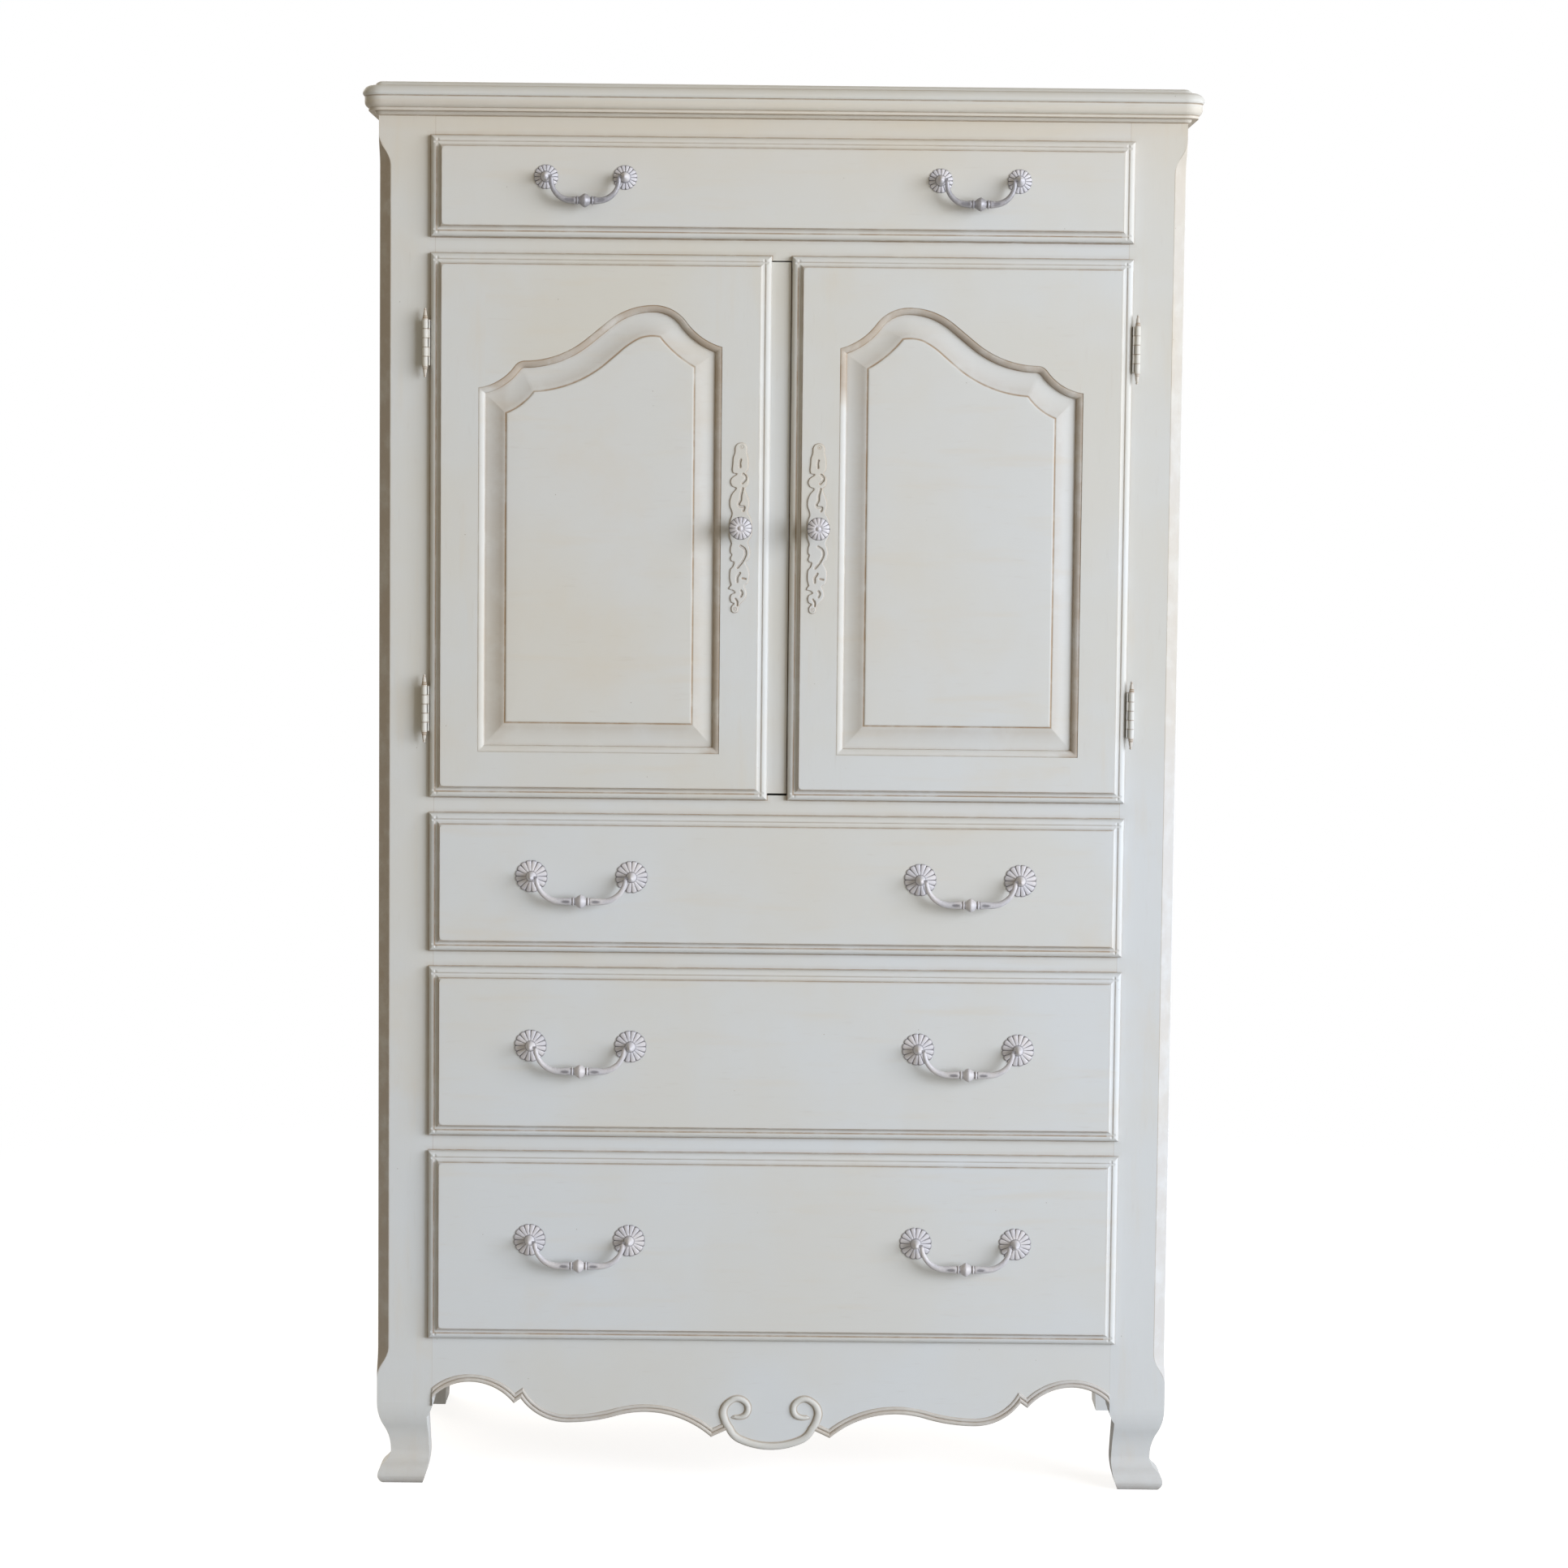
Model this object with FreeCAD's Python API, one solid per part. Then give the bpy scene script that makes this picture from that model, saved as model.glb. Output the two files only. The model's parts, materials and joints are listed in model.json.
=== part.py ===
# Door chest: one drawer over a two-door cupboard over three drawers, on a shaped base.
# Shapes are drawn with x to the right, y = 0 on the front of the face frame and growing
# backwards, and z = 0 on the floor. Each is moved at the end, so that the origin lies
# under the middle of the whole chest, handles included.
import FreeCAD
import Part
import math
import os

V = FreeCAD.Vector
X_AXIS = V(1, 0, 0)
Y_AXIS = V(0, 1, 0)
Z_AXIS = V(0, 0, 1)
ORIGIN = V(0, 0, 0)

# Overall case, in millimetres
body_w = 912.0
body_depth = 438.0
chest_h = 1608.0
overrun = 1.0

# Front posts, which run down into the feet
post_w = 64.0
post_depth = 50.0
chamfer = 13.3
chamfer_top_gap = 19.5
chamfer_bottom_z = 124.0
tongue_len = 37.5

# Front foot: how far the outside stands in from the post, at named heights
knee_z = 96.0
ankle_z = 37.0
ankle_in = 14.9
toe_z = 8.5
toe_in = 0.6
sole_in = 6.0
inner_knee_z = 78.0
inner_knee_in = 6.6
inner_ankle_z = 34.0
inner_ankle_in = 4.4
sole_inner_in = 11.6
foot_bulge = 0.2
sole_bulge = 0.105

# Rear legs
rear_leg_w = 50.0
rear_leg_depth = 62.0
rear_taper_h = 110.0
rear_taper = 4.0

# Face frame
rail_t = 20.0
opening_bottom_z = 178.0
front_gap = 18.0
lip_overlap = 5.0
bottom_drawer_h = 219.0
third_drawer_h = 195.4
second_drawer_h = 158.8
top_drawer_h = 113.8
top_drawer_drop = 21.7

# Sides, back and inner boards
side_t = 18.0
side_reveal = 3.0
side_bottom_z = 118.0
back_t = 6.0
back_lap = 12.0
dust_t = 16.0
shelf_t = 18.0
shelf_gap = 2.0
shelf_front_gap = 10.0
shelf_height_share = 0.5
pin_r = 2.5
pin_len = 16.0
pin_inset = 55.0
guide_h = 20.0
catch_w = 42.0
catch_h = 13.0
catch_depth = 26.0
catch_gap = 0.8
catch_from_middle = 70.0

# Top board: a small ovolo above a bullnose, both as run and drop from the body's face
top_t = 17.2
top_flat_in = 3.4
top_ovolo_run = 8.4
top_ovolo_drop = 5.2
top_step = 1.4
nose_out = 18.5
nose_drop = 12.6
nose_foot_run = 2.2
plan_corner_r = 22.0

# Moulding under the top board
crown_h = 20.6
crown_out = 16.3
crown_fillet_h = 4.8
crown_ovolo_h = 8.0
crown_ovolo_in = 4.3
crown_bead_h = 3.3
crown_step_in = 7.4
crown_foot_out = 1.0

# Raised fronts: a bead, a quirk and a cove round a flat field
front_rise = 12.7
rest_gap = 0.3
lip_edge = 2.6
bead_w = 6.6
bead_rise = 7.9
quirk = 0.7
cove_w = 12.2
cove_rise = 11.4
field_margin = 13.0
field_corner_r = 4.6
inset_t = 10.0
inset_gap = 1.0

# Drawer boxes
box_side_gap = 1.5
box_top_gap = 14.0
box_wall = 12.0
box_bottom_t = 6.0
box_bottom_up = 10.0
box_groove = 6.0
box_back_gap = 22.0
run_gap = 0.3

# Doors
door_split = 23.0
stile_w = 55.0
bottom_rail_w = 52.5
sticking_w = 8.0
sticking_quirk = 0.8
sticking_drop = 6.2
bevel_rise = 4.8
field_step = 0.6
groove_half_w = 1.6
tongue_reach = 6.0
tongue_t = 6.0
tongue_gap = 0.3
arch_rise = 94.4
arch_crest_gap = 56.7
field_side_in = 31.3
field_bottom_in = 34.0
field_arch_down = 28.3
field_arch_rise = 88.3
strip_t = 11.0
strip_gap = 1.0
strip_top_gap = 1.5
strip_bottom_gap = 2.5

# The arched top of the left door's panel opening: across and up the rise, then the bulge of
# the piece that follows (the tangent of a quarter of its turn, positive when it turns up)
arch_shares = [
    (0.0, 0.0, 0.206),
    (0.1485, 0.2617, -0.226),
    (0.1887, 0.3242, 0.168),
    (0.4356, 0.5773, 0.0),
    (0.5299, 0.803, -0.174),
    (0.7187, 1.0, -0.238),
    (0.853, 0.8019, 0.17),
    (1.0, 0.5095, 0.0),
]

# The arched top of the groove round the panel's field, in the same way
field_shares = [
    (0.0, 0.0, 0.14),
    (0.1446, 0.2695, 0.0),
    (0.1507, 0.2775, 0.156),
    (0.5192, 0.6229, 0.0),
    (0.5991, 0.7882, -0.075),
    (0.707, 0.9683, -0.145),
    (0.815, 0.9887, 0.096),
    (1.0, 0.6082, 0.0),
]

# The apron's lower edge from the middle out: across the half width and down the drop
apron_drop = 133.6
apron_shares = [
    (0.0, 1.0, 0.105),
    (0.094, 0.941, 0.189),
    (0.131, 0.831, 0.0),
    (0.1755, 0.892, -0.182),
    (0.37, 0.677, -0.0765),
    (0.464, 0.72, 0.067),
    (0.602, 0.775, 0.242),
    (0.7385, 0.569, 0.0),
    (0.759, 0.6115, -0.227),
    (0.89, 0.4265, -0.211),
    (1.0, 0.569, 0.0),
]
apron_bead_w = 8.6
apron_bead_rise = 2.2

# The scroll that curls up from the apron's middle, as points across and up from its foot
scroll_w = 6.5
scroll_rise = 3.0
scroll_half_w = 59.3
scroll_h = 63.5
scroll_shares = [
    (0.0, 0.0, 0.105),
    (0.6206, 0.1244, 0.189),
    (0.8668, 0.3559, 0.12),
    (1.0, 0.6457, 0.29),
    (0.8145, 0.948, 0.346),
    (0.4924, 0.948, 0.5),
    (0.4688, 0.5953, 0.25),
    (0.769, 0.5953, 0.0),
]

# Hinges
barrel_r = 3.15
barrel_len = 52.0
knuckle_count = 5
knuckle_gap = 0.3
hinge_pin_r = 1.5
pin_gap = 0.06
finial_len = 13.0
finial_r = 2.6
finial_ball_r = 1.3
pivot_out = 5.5
pivot_front = 9.5
leaf_t = 1.3
leaf_reach = 28.0
leaf_clear = 0.85
hinge_from_end = 101.25

# Knobs and their plates
knob_r = 13.0
knob_stand = 28.0
knob_head_t = 9.0
knob_neck_r = 4.6
knob_foot_r = 7.0
knob_foot_t = 3.0
knob_up = 1.5
knob_from_edge = 32.5
plate_t = 1.4
plate_half_w = 13.0
plate_up = 96.0
plate_down = 97.0
plate_round_share = 0.42
plate_shares = [
    (1.0, 0.18), (0.93, 0.62), (0.8, 0.42), (0.66, 0.86), (0.56, 0.4), (0.44, 0.95),
    (0.3, 0.55), (0.13, 1.0), (-0.13, 1.0), (-0.26, 0.6), (-0.38, 0.9), (-0.5, 0.45),
    (-0.62, 0.82), (-0.78, 0.4), (-0.9, 0.6), (-1.0, 0.18),
]

# Drawer pulls
large_pull_centres = 114.3
small_pull_centres = 88.9
pull_from_edge = 175.0
large_pull_up = 8.4
small_pull_up = 10.4
large_rosette_r = 18.5
small_rosette_r = 13.75
rosette_t = 1.6
rosette_dome = 3.2
rosette_lobes = 16
lobe_depth = 0.8
pull_post_base_r = 5.2
pull_post_tip_r = 3.8
pull_post_stand = 21.0
pull_pivot_out = 15.3
screw_r = 2.0
screw_head_r = 4.2
screw_head_t = 2.4
bail_end_in = 6.5
bail_drop = 27.0
small_bail_r = 23.0
bail_end_r = 2.1
bail_elbow_r = 3.7
bail_mid_r = 4.4
bail_pin_r = 1.4
bail_pin_in = 3.0
bail_collar_r = 5.0
bail_collar_w = 1.6
bail_bead_r = 8.0
bail_bead_half_w = 6.85

# Places that follow from the sizes above
half_w = body_w / 2
opening_half_w = half_w - post_w
lip_half_w = opening_half_w + lip_overlap
frame_top_z = chest_h - top_t
frame_foot_z = frame_top_z - crown_h
side_x = half_w - side_reveal
side_inner_x = side_x - side_t
rear_y = body_depth - rear_leg_depth
pivot_y = -pivot_front
pivot_x = lip_half_w + pivot_out
field_y = -front_rise
pull_pivot_y = field_y - pull_pivot_out
knob_x = -door_split / 2 - knob_from_edge
pull_x = lip_half_w - pull_from_edge
front_extent = front_rise + knob_stand
shift_y = (front_extent - body_depth) / 2

front_spans = []
lip_z = opening_bottom_z - lip_overlap
for height in (bottom_drawer_h, third_drawer_h, second_drawer_h):
    front_spans.append((lip_z, lip_z + height))
    lip_z += height + front_gap
top_drawer_z = frame_foot_z - top_drawer_drop - top_drawer_h
front_spans.append((lip_z, top_drawer_z - front_gap))
front_spans.append((top_drawer_z, top_drawer_z + top_drawer_h))
door_low, door_high = front_spans[3]
hinge_heights = (door_low + hinge_from_end, door_high - hinge_from_end)
knob_z = (door_low + door_high) / 2 + knob_up
openings = [(low + lip_overlap, high - lip_overlap) for low, high in front_spans]
bottom_open, third_open, second_open, door_open, top_open = openings


def box(x0, x1, y0, y1, z0, z1):
    """A block between two corners."""
    return Part.makeBox(x1 - x0, y1 - y0, z1 - z0, V(x0, y0, z0))


def mirrored(shape):
    """The same piece on the other side of the chest."""
    return shape.mirror(ORIGIN, X_AXIS)


def moved(shape, x, y, z):
    """A copy of a piece, moved."""
    copy = shape.copy()
    copy.translate(V(x, y, z))
    return copy


def joined(shapes):
    """One solid out of several that touch."""
    whole = shapes[0].fuse(shapes[1:]) if len(shapes) > 1 else shapes[0]
    return whole.removeSplitter()


def save(node, shapes):
    """One node, as one solid or as a group of separate ones."""
    solids = [solid for shape in shapes for solid in shape.Solids]
    whole = solids[0] if len(solids) == 1 else Part.makeCompound(solids)
    moved(whole, 0, shift_y, 0).exportStep(os.path.join("parts", node + ".step"))


# Outlines are lists of pieces (start, middle, end); a straight piece has no middle.
def piece(start, end, bulge):
    """A straight or round piece of an outline in the xz plane."""
    if bulge == 0:
        return (start, None, end)
    run = end - start
    middle = (start + end) * 0.5 + V(run.z, 0, -run.x) * (bulge / 2)
    return (start, middle, end)


def outline(points, bulges, closed):
    """The pieces that join a list of points, each with the bulge of what follows it."""
    count = len(points) if closed else len(points) - 1
    return [piece(points[i], points[(i + 1) % len(points)], bulges[i]) for i in range(count)]


def centre_of(part):
    """The centre of a round piece, and which way it turns."""
    start, middle, end = part
    circle = Part.Circle(start, middle, end)
    turn = (middle - start).cross(end - middle).y
    return circle.Center, circle.Radius, 1 if turn < 0 else -1


def left_of(direction):
    """The direction to the left of another, in the xz plane."""
    return V(-direction.z, 0, direction.x)


def tangent(part, at_end):
    """The direction in which a piece leaves or arrives."""
    start, middle, end = part
    if middle is None:
        return (end - start).normalize()
    centre, radius, turn = centre_of(part)
    spoke = (end if at_end else start) - centre
    return (left_of(spoke) * turn).normalize()


def level(part, distance):
    """How far a point lies from a piece that was moved sideways, and the way there."""
    start, middle, end = part
    if middle is None:
        normal = left_of((end - start).normalize())
        return lambda point: ((point - start).dot(normal) - distance, normal)
    centre, radius, turn = centre_of(part)
    reach = radius - turn * distance

    def from_circle(point):
        spoke = point - centre
        return spoke.Length - reach, spoke.normalize()
    return from_circle


def corner(before, after, distance):
    """Where two neighbouring pieces meet once both are moved to the left."""
    n1 = left_of(tangent(before, True))
    n2 = left_of(tangent(after, False))
    point = before[2] + (n1 + n2) * (distance / (1 + n1.dot(n2)))
    for step in range(12):
        gap1, way1 = level(before, distance)(point)
        gap2, way2 = level(after, distance)(point)
        spread = way1.x * way2.z - way1.z * way2.x
        if abs(spread) < 0.1:
            break
        point = point - V(gap1 * way2.z - gap2 * way1.z, 0, gap2 * way1.x - gap1 * way2.x) / spread
    return point


def inset(parts, distance, closed):
    """The outline that runs inside another at a constant distance."""
    count = len(parts)
    corners = [corner(parts[i - 1], parts[i], distance) for i in range(count)]
    if not closed:
        corners[0] = parts[0][0] + left_of(tangent(parts[0], False)) * distance
    last = parts[-1][2] + left_of(tangent(parts[-1], True)) * distance
    corners.append(corners[0] if closed else last)
    result = []
    for i, (start, middle, end) in enumerate(parts):
        if middle is not None:
            centre, radius, turn = centre_of(parts[i])
            middle = centre + (middle - centre).normalize() * (radius - turn * distance)
        result.append((corners[i], middle, corners[i + 1]))
    return result


def backwards(parts):
    """An outline run the other way."""
    return [(end, middle, start) for start, middle, end in reversed(parts)]


def wire(parts, y):
    """An outline drawn at a depth in the chest."""
    lift = V(0, y, 0)
    edges = []
    for start, middle, end in parts:
        if middle is None:
            edges.append(Part.LineSegment(start + lift, end + lift).toShape())
        else:
            edges.append(Part.Arc(start + lift, middle + lift, end + lift).toShape())
    return Part.Wire(edges)


def prism(parts, y0, y1):
    """A closed outline given a thickness in y."""
    return Part.Face(wire(parts, y0)).extrude(V(0, y1 - y0, 0))


def closed_up(parts):
    """An open outline closed by a straight line."""
    return parts + [(parts[-1][2], None, parts[0][0])]


def band(parts, width, y0, y1):
    """A strip that follows an open outline on its left."""
    inner = backwards(inset(parts, width, False))
    across = [(parts[-1][2], None, inner[0][0])]
    return prism(closed_up(parts + across + inner), y0, y1)


def ogee(start, end):
    """Two equal arcs that leave and arrive upright: the easy curve of a leg."""
    run = end - start
    radius = (run.x ** 2 + run.z ** 2) / (4 * abs(run.x))
    middle = (start + end) * 0.5
    rise = math.copysign(1, run.z)
    side = math.copysign(1, run.x)
    half = math.asin(abs(run.z) / 2 / radius) / 2
    out = V(side * radius * (1 - math.cos(half)), 0, rise * radius * math.sin(half))
    return [(start, start + out, middle), (middle, end - out, end)]


def polygon(points):
    """Straight pieces through a list of points."""
    return [(points[i], None, points[i + 1]) for i in range(len(points) - 1)]


def rounded(x0, x1, z0, z1, radius):
    """A rectangle with round corners."""
    bulge = math.tan(math.pi / 8)
    points = [
        V(x0 + radius, 0, z0), V(x1 - radius, 0, z0), V(x1, 0, z0 + radius), V(x1, 0, z1 - radius),
        V(x1 - radius, 0, z1), V(x0 + radius, 0, z1), V(x0, 0, z1 - radius), V(x0, 0, z0 + radius),
    ]
    return outline(points, [0, bulge] * 4, True)


# The front posts
def foot_profile(width, inner_top_z):
    """A post's outline from outside (x = 0) to inside (x = width), with its foot."""
    top = frame_top_z
    ankle = V(ankle_in, 0, ankle_z)
    outside = ogee(V(0, 0, knee_z), ankle) + ogee(ankle, V(toe_in, 0, toe_z))
    toe = [piece(V(toe_in, 0, toe_z), V(sole_in, 0, 0), foot_bulge)]
    inner_knee = V(width - inner_knee_in, 0, inner_knee_z)
    inner_ankle = V(width - inner_ankle_in, 0, inner_ankle_z)
    sole = V(width - sole_inner_in, 0, 0)
    inside = [piece(V(width, 0, inner_top_z), inner_knee, -foot_bulge)]
    inside += polygon([inner_knee, inner_ankle]) + [piece(inner_ankle, sole, -sole_bulge)]
    start = polygon([V(0, 0, top), V(0, 0, knee_z)])
    ground = polygon([V(sole_in, 0, 0), sole])
    back = polygon([V(width, 0, inner_top_z), V(width, 0, top), V(0, 0, top)])
    return start + outside + toe + ground + backwards(inside) + back


def chamfer_cutter():
    """What the chamfer takes off: a bevel that runs out in a tongue at both ends."""
    top = frame_foot_z - chamfer_top_gap
    low = chamfer_bottom_z
    depth = chamfer / math.sqrt(2)
    far = depth + chamfer
    points_top = ogee(V(-depth, 0, top - tongue_len), V(0, 0, top))
    points_low = ogee(V(0, 0, low), V(-depth, 0, low + tongue_len))
    straight = polygon([V(-depth, 0, low + tongue_len), V(-depth, 0, top - tongue_len)])
    outside = polygon([V(0, 0, top), V(far, 0, top), V(far, 0, low), V(0, 0, low)])
    cutter = prism(points_low + straight + points_top + outside, -far, far)
    cutter.rotate(ORIGIN, Z_AXIS, -135)
    return cutter


def front_post():
    """The left front post."""
    apron_end_z = opening_bottom_z - apron_drop * apron_shares[-1][1]
    front = prism(foot_profile(post_w, apron_end_z), 0, post_depth)
    side = prism(foot_profile(post_depth, side_bottom_z), 0, post_w)
    side.rotate(ORIGIN, Z_AXIS, 90)
    side.translate(V(post_w, 0, 0))
    solid = front.common(side).cut(chamfer_cutter())
    return moved(solid, -half_w, 0, 0)


def rear_post():
    """The left rear post, tapered on its two inner faces and rebated for the back."""
    blank = box(-half_w, rear_leg_w - half_w, rear_y, body_depth, 0, frame_top_z)
    slope = [V(0, 0, rear_taper_h), V(overrun, 0, rear_taper_h), V(overrun, 0, 0), V(-rear_taper, 0, 0)]
    wedge = prism(closed_up(polygon(slope)), -rear_leg_depth, rear_leg_depth)
    inner = moved(wedge, rear_leg_w - half_w, body_depth, 0)
    front = wedge.copy()
    front.rotate(ORIGIN, Z_AXIS, -90)
    front.translate(V(-half_w, rear_y, 0))
    rebate = box(rear_leg_w - half_w - back_lap, overrun + rear_leg_w - half_w, body_depth - back_t,
                 body_depth + overrun, side_bottom_z, frame_top_z + overrun)
    return blank.cut([inner, front, rebate])


# Sides, back and inner boards
def side_panel():
    """The left side, between the posts."""
    return box(-side_x, -side_inner_x, post_depth, rear_y, side_bottom_z, frame_top_z)


def back_panel():
    """The thin back, in the rear posts' rebates."""
    half = half_w - rear_leg_w + back_lap
    return box(-half, half, body_depth - back_t, body_depth, side_bottom_z, frame_top_z)


def inner_board(top_z):
    """A board across the inside of the case, notched round the four posts."""
    back_y = body_depth - back_t
    board = box(-side_inner_x, side_inner_x, rail_t, back_y, top_z - dust_t, top_z)
    notches = []
    for x0, x1 in ((opening_half_w, half_w), (-half_w, -opening_half_w)):
        notches.append(box(x0, x1, 0, post_depth, top_z - dust_t, top_z))
    rear_x = half_w - rear_leg_w
    for x0, x1 in ((rear_x, half_w), (-half_w, -rear_x)):
        notches.append(box(x0, x1, rear_y, body_depth, top_z - dust_t, top_z))
    return board.cut(notches)


def rail(low, high):
    """A plain rail of the face frame."""
    return box(-opening_half_w, opening_half_w, 0, rail_t, low, high)


def drawer_guide(low):
    """The left guide strip that fills in from the side to the drawer."""
    return box(-side_inner_x, -opening_half_w, post_depth, rear_y, low, low + guide_h)


def shelf_z():
    """The height of the shelf's underside."""
    low, high = door_open
    return low + (high - low) * shelf_height_share


def cabinet_shelf():
    """The shelf in the cupboard."""
    half = side_inner_x - shelf_gap
    low = shelf_z()
    return box(-half, half, post_depth + shelf_front_gap, rear_y - shelf_gap, low, low + shelf_t)


def shelf_pins():
    """Four pins in the sides that carry the shelf."""
    places = (post_depth + shelf_front_gap + pin_inset, rear_y - shelf_gap - pin_inset)
    low = shelf_z() - pin_r
    pins = []
    for y in places:
        pin = Part.makeCylinder(pin_r, pin_len, V(-side_inner_x - pin_len / 2, y, low), X_AXIS)
        pins += [pin, mirrored(pin)]
    return pins


def door_catch():
    """The left door's catch, under the board above the cupboard."""
    low, high = door_open
    y0 = inset_t + catch_gap
    x0 = -catch_from_middle - catch_w
    under = box(x0, x0 + catch_w, y0, y0 + catch_depth, high - catch_h, high)
    upper = box(x0, x0 + catch_w, rail_t, y0 + catch_depth, high, top_open[0] - dust_t)
    return joined([under, upper])


# The shaped apron
def apron_point(across, down):
    """A place on the apron, from shares of its half width and its drop."""
    return V(opening_half_w * across, 0, opening_bottom_z - apron_drop * down)


def apron_edge():
    """The right half of the apron's lower edge, from the middle out."""
    points = [apron_point(across, down) for across, down, bulge in apron_shares]
    return outline(points, [bulge for across, down, bulge in apron_shares], False)


def scroll_edge():
    """The outside of the right scroll, from the middle of the apron's foot."""
    foot = opening_bottom_z - apron_drop
    points = [V(scroll_half_w * across, 0, foot + scroll_h * up) for across, up, bulge in scroll_shares]
    return outline(points, [bulge for across, up, bulge in scroll_shares], False)


def front_apron():
    """The apron with its scrolls and the bead along its lower edge."""
    edge = apron_edge()
    top = polygon([edge[-1][2], V(opening_half_w, 0, opening_bottom_z), V(0, 0, opening_bottom_z)])
    board = prism(closed_up(edge + top), 0, rail_t)
    bead = band(edge[3:7], apron_bead_w, -apron_bead_rise, 0)
    end_bead = band(edge[8:], apron_bead_w, -apron_bead_rise, 0)
    scroll = band(scroll_edge()[:-1], scroll_w, -scroll_rise, 0)
    ends = box(0, opening_half_w, -scroll_rise, rail_t, 0, opening_bottom_z)
    half = joined([board, bead, end_bead, scroll]).common(ends)
    return joined([half, mirrored(half)])


# The top and the moulding under it
def edge_section(points):
    """A section from the corner's axis out to a moulded edge: lists of (run, height)."""
    return [(V(a[0], 0, a[1]), V(m[0], 0, m[1]) if m else None, V(b[0], 0, b[1])) for a, m, b in points]


def run_round(section, low, high):
    """A moulded section taken along the front and both sides, round two front corners."""
    corner_r = plan_corner_r - nose_out
    axis_x = half_w - corner_r
    block = box(-axis_x, axis_x, corner_r, body_depth, low, high)
    face = Part.Face(wire(section, 0))
    side = moved(face, axis_x, corner_r, 0)
    right = side.extrude(V(0, body_depth - corner_r, 0))
    bend = side.revolve(V(axis_x, corner_r, 0), Z_AXIS, -90)
    front = side.copy()
    front.rotate(V(axis_x, corner_r, 0), Z_AXIS, -90)
    front = front.extrude(V(-2 * axis_x, 0, 0))
    return joined([block, right, bend, front, mirrored(right), mirrored(bend)])


def top_board():
    """The top, with an ovolo above a bullnose on three edges."""
    r = plan_corner_r - nose_out
    z = chest_h
    low = frame_top_z
    flat = r - top_flat_in
    ovolo_end = flat + top_ovolo_run
    ovolo_z = z - top_ovolo_drop
    nose_start = ovolo_end + top_step
    nose = r + nose_out
    nose_z = z - nose_drop
    foot = nose - nose_foot_run
    bow = math.sqrt(0.5)
    ovolo_r = (top_ovolo_run ** 2 + top_ovolo_drop ** 2) / (2 * top_ovolo_drop)
    half = math.asin(top_ovolo_run / ovolo_r) / 2
    ovolo_middle = (flat + ovolo_r * math.sin(half), z - ovolo_r * (1 - math.cos(half)))
    section = edge_section([
        ((0, low), None, (0, z)),
        ((0, z), None, (flat, z)),
        ((flat, z), ovolo_middle, (ovolo_end, ovolo_z)),
        ((ovolo_end, ovolo_z), None, (nose_start, ovolo_z)),
        ((nose_start, ovolo_z), (nose_start + (nose - nose_start) * bow,
                                 nose_z + (ovolo_z - nose_z) * bow), (nose, nose_z)),
        ((nose, nose_z), (foot + nose_foot_run * bow, low + (nose_z - low) * (1 - bow)), (foot, low)),
        ((foot, low), None, (0, low)),
    ])
    return run_round(section, low, z)


def cornice_moulding():
    """The moulding under the top: an ovolo, a fillet and a small round foot."""
    r = plan_corner_r - nose_out
    high = frame_top_z
    low = frame_foot_z
    out = r + crown_out
    fillet_z = high - crown_fillet_h
    ovolo_z = fillet_z - crown_ovolo_h
    bead_x = out - crown_ovolo_in
    bead_z = ovolo_z - crown_bead_h
    step_x = bead_x - crown_step_in
    foot = r + crown_foot_out
    bow = math.sqrt(0.5)
    section = edge_section([
        ((0, low), None, (0, high)),
        ((0, high), None, (out, high)),
        ((out, high), None, (out, fillet_z)),
        ((out, fillet_z), (bead_x + crown_ovolo_in * bow, ovolo_z + crown_ovolo_h * (1 - bow)),
         (bead_x, ovolo_z)),
        ((bead_x, ovolo_z), None, (bead_x, bead_z)),
        ((bead_x, bead_z), None, (step_x, bead_z)),
        ((step_x, bead_z), (foot + (step_x - foot) * bow, low + (bead_z - low) * (1 - bow)), (foot, low)),
        ((foot, low), None, (0, low)),
    ])
    inside = box(-half_w, half_w, 0, body_depth + overrun, low - overrun, high + overrun)
    return run_round(section, low, high).cut(inside)


# Lipped fronts
def lip_section(near, far):
    """The section across a lipped front, from one edge to the other: (place, height)."""
    bow = math.sqrt(0.5)
    quirk_x = bead_w + quirk
    quirk_h = bead_rise - quirk
    half = [
        ((0, rest_gap), None, (0, lip_edge)),
        ((0, lip_edge), (bead_w * (1 - bow), lip_edge + (bead_rise - lip_edge) * bow), (bead_w, bead_rise)),
        ((bead_w, bead_rise), None, (quirk_x, quirk_h)),
        ((quirk_x, quirk_h), (quirk_x + (cove_w - quirk_x) * bow, cove_rise - (cove_rise - quirk_h) * bow),
         (cove_w, cove_rise)),
    ]
    left = edge_section([tuple((near + p[0], p[1]) if p else None for p in part) for part in half])
    right = edge_section([tuple((far - p[0], p[1]) if p else None for p in part) for part in half])
    return closed_up(left + polygon([left[-1][2], right[-1][2]]) + backwards(right))


def lipped_slab(x0, x1, z0, z1):
    """The part of a front that stands before the face frame, mitred at its corners."""
    upright = Part.Face(wire(lip_section(x0, x1), 0))
    upright.rotate(ORIGIN, X_AXIS, 90)
    upright = upright.extrude(V(0, 0, z1 - z0))
    upright.translate(V(0, 0, z0))
    across = Part.Face(wire(lip_section(z0, z1), 0))
    across.rotate(ORIGIN, V(1, -1, 1), 120)
    across = across.extrude(V(x1 - x0, 0, 0))
    across.translate(V(x0, 0, 0))
    margin = field_margin
    field = rounded(x0 + margin, x1 - margin, z0 + margin, z1 - margin, field_corner_r)
    return joined([upright.common(across), prism(field, field_y, -cove_rise + quirk)])


def screw_places(centres, middle_x, z):
    """Where a pull's two screws pass through a front."""
    return [(middle_x - centres / 2, z), (middle_x + centres / 2, z)]


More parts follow.
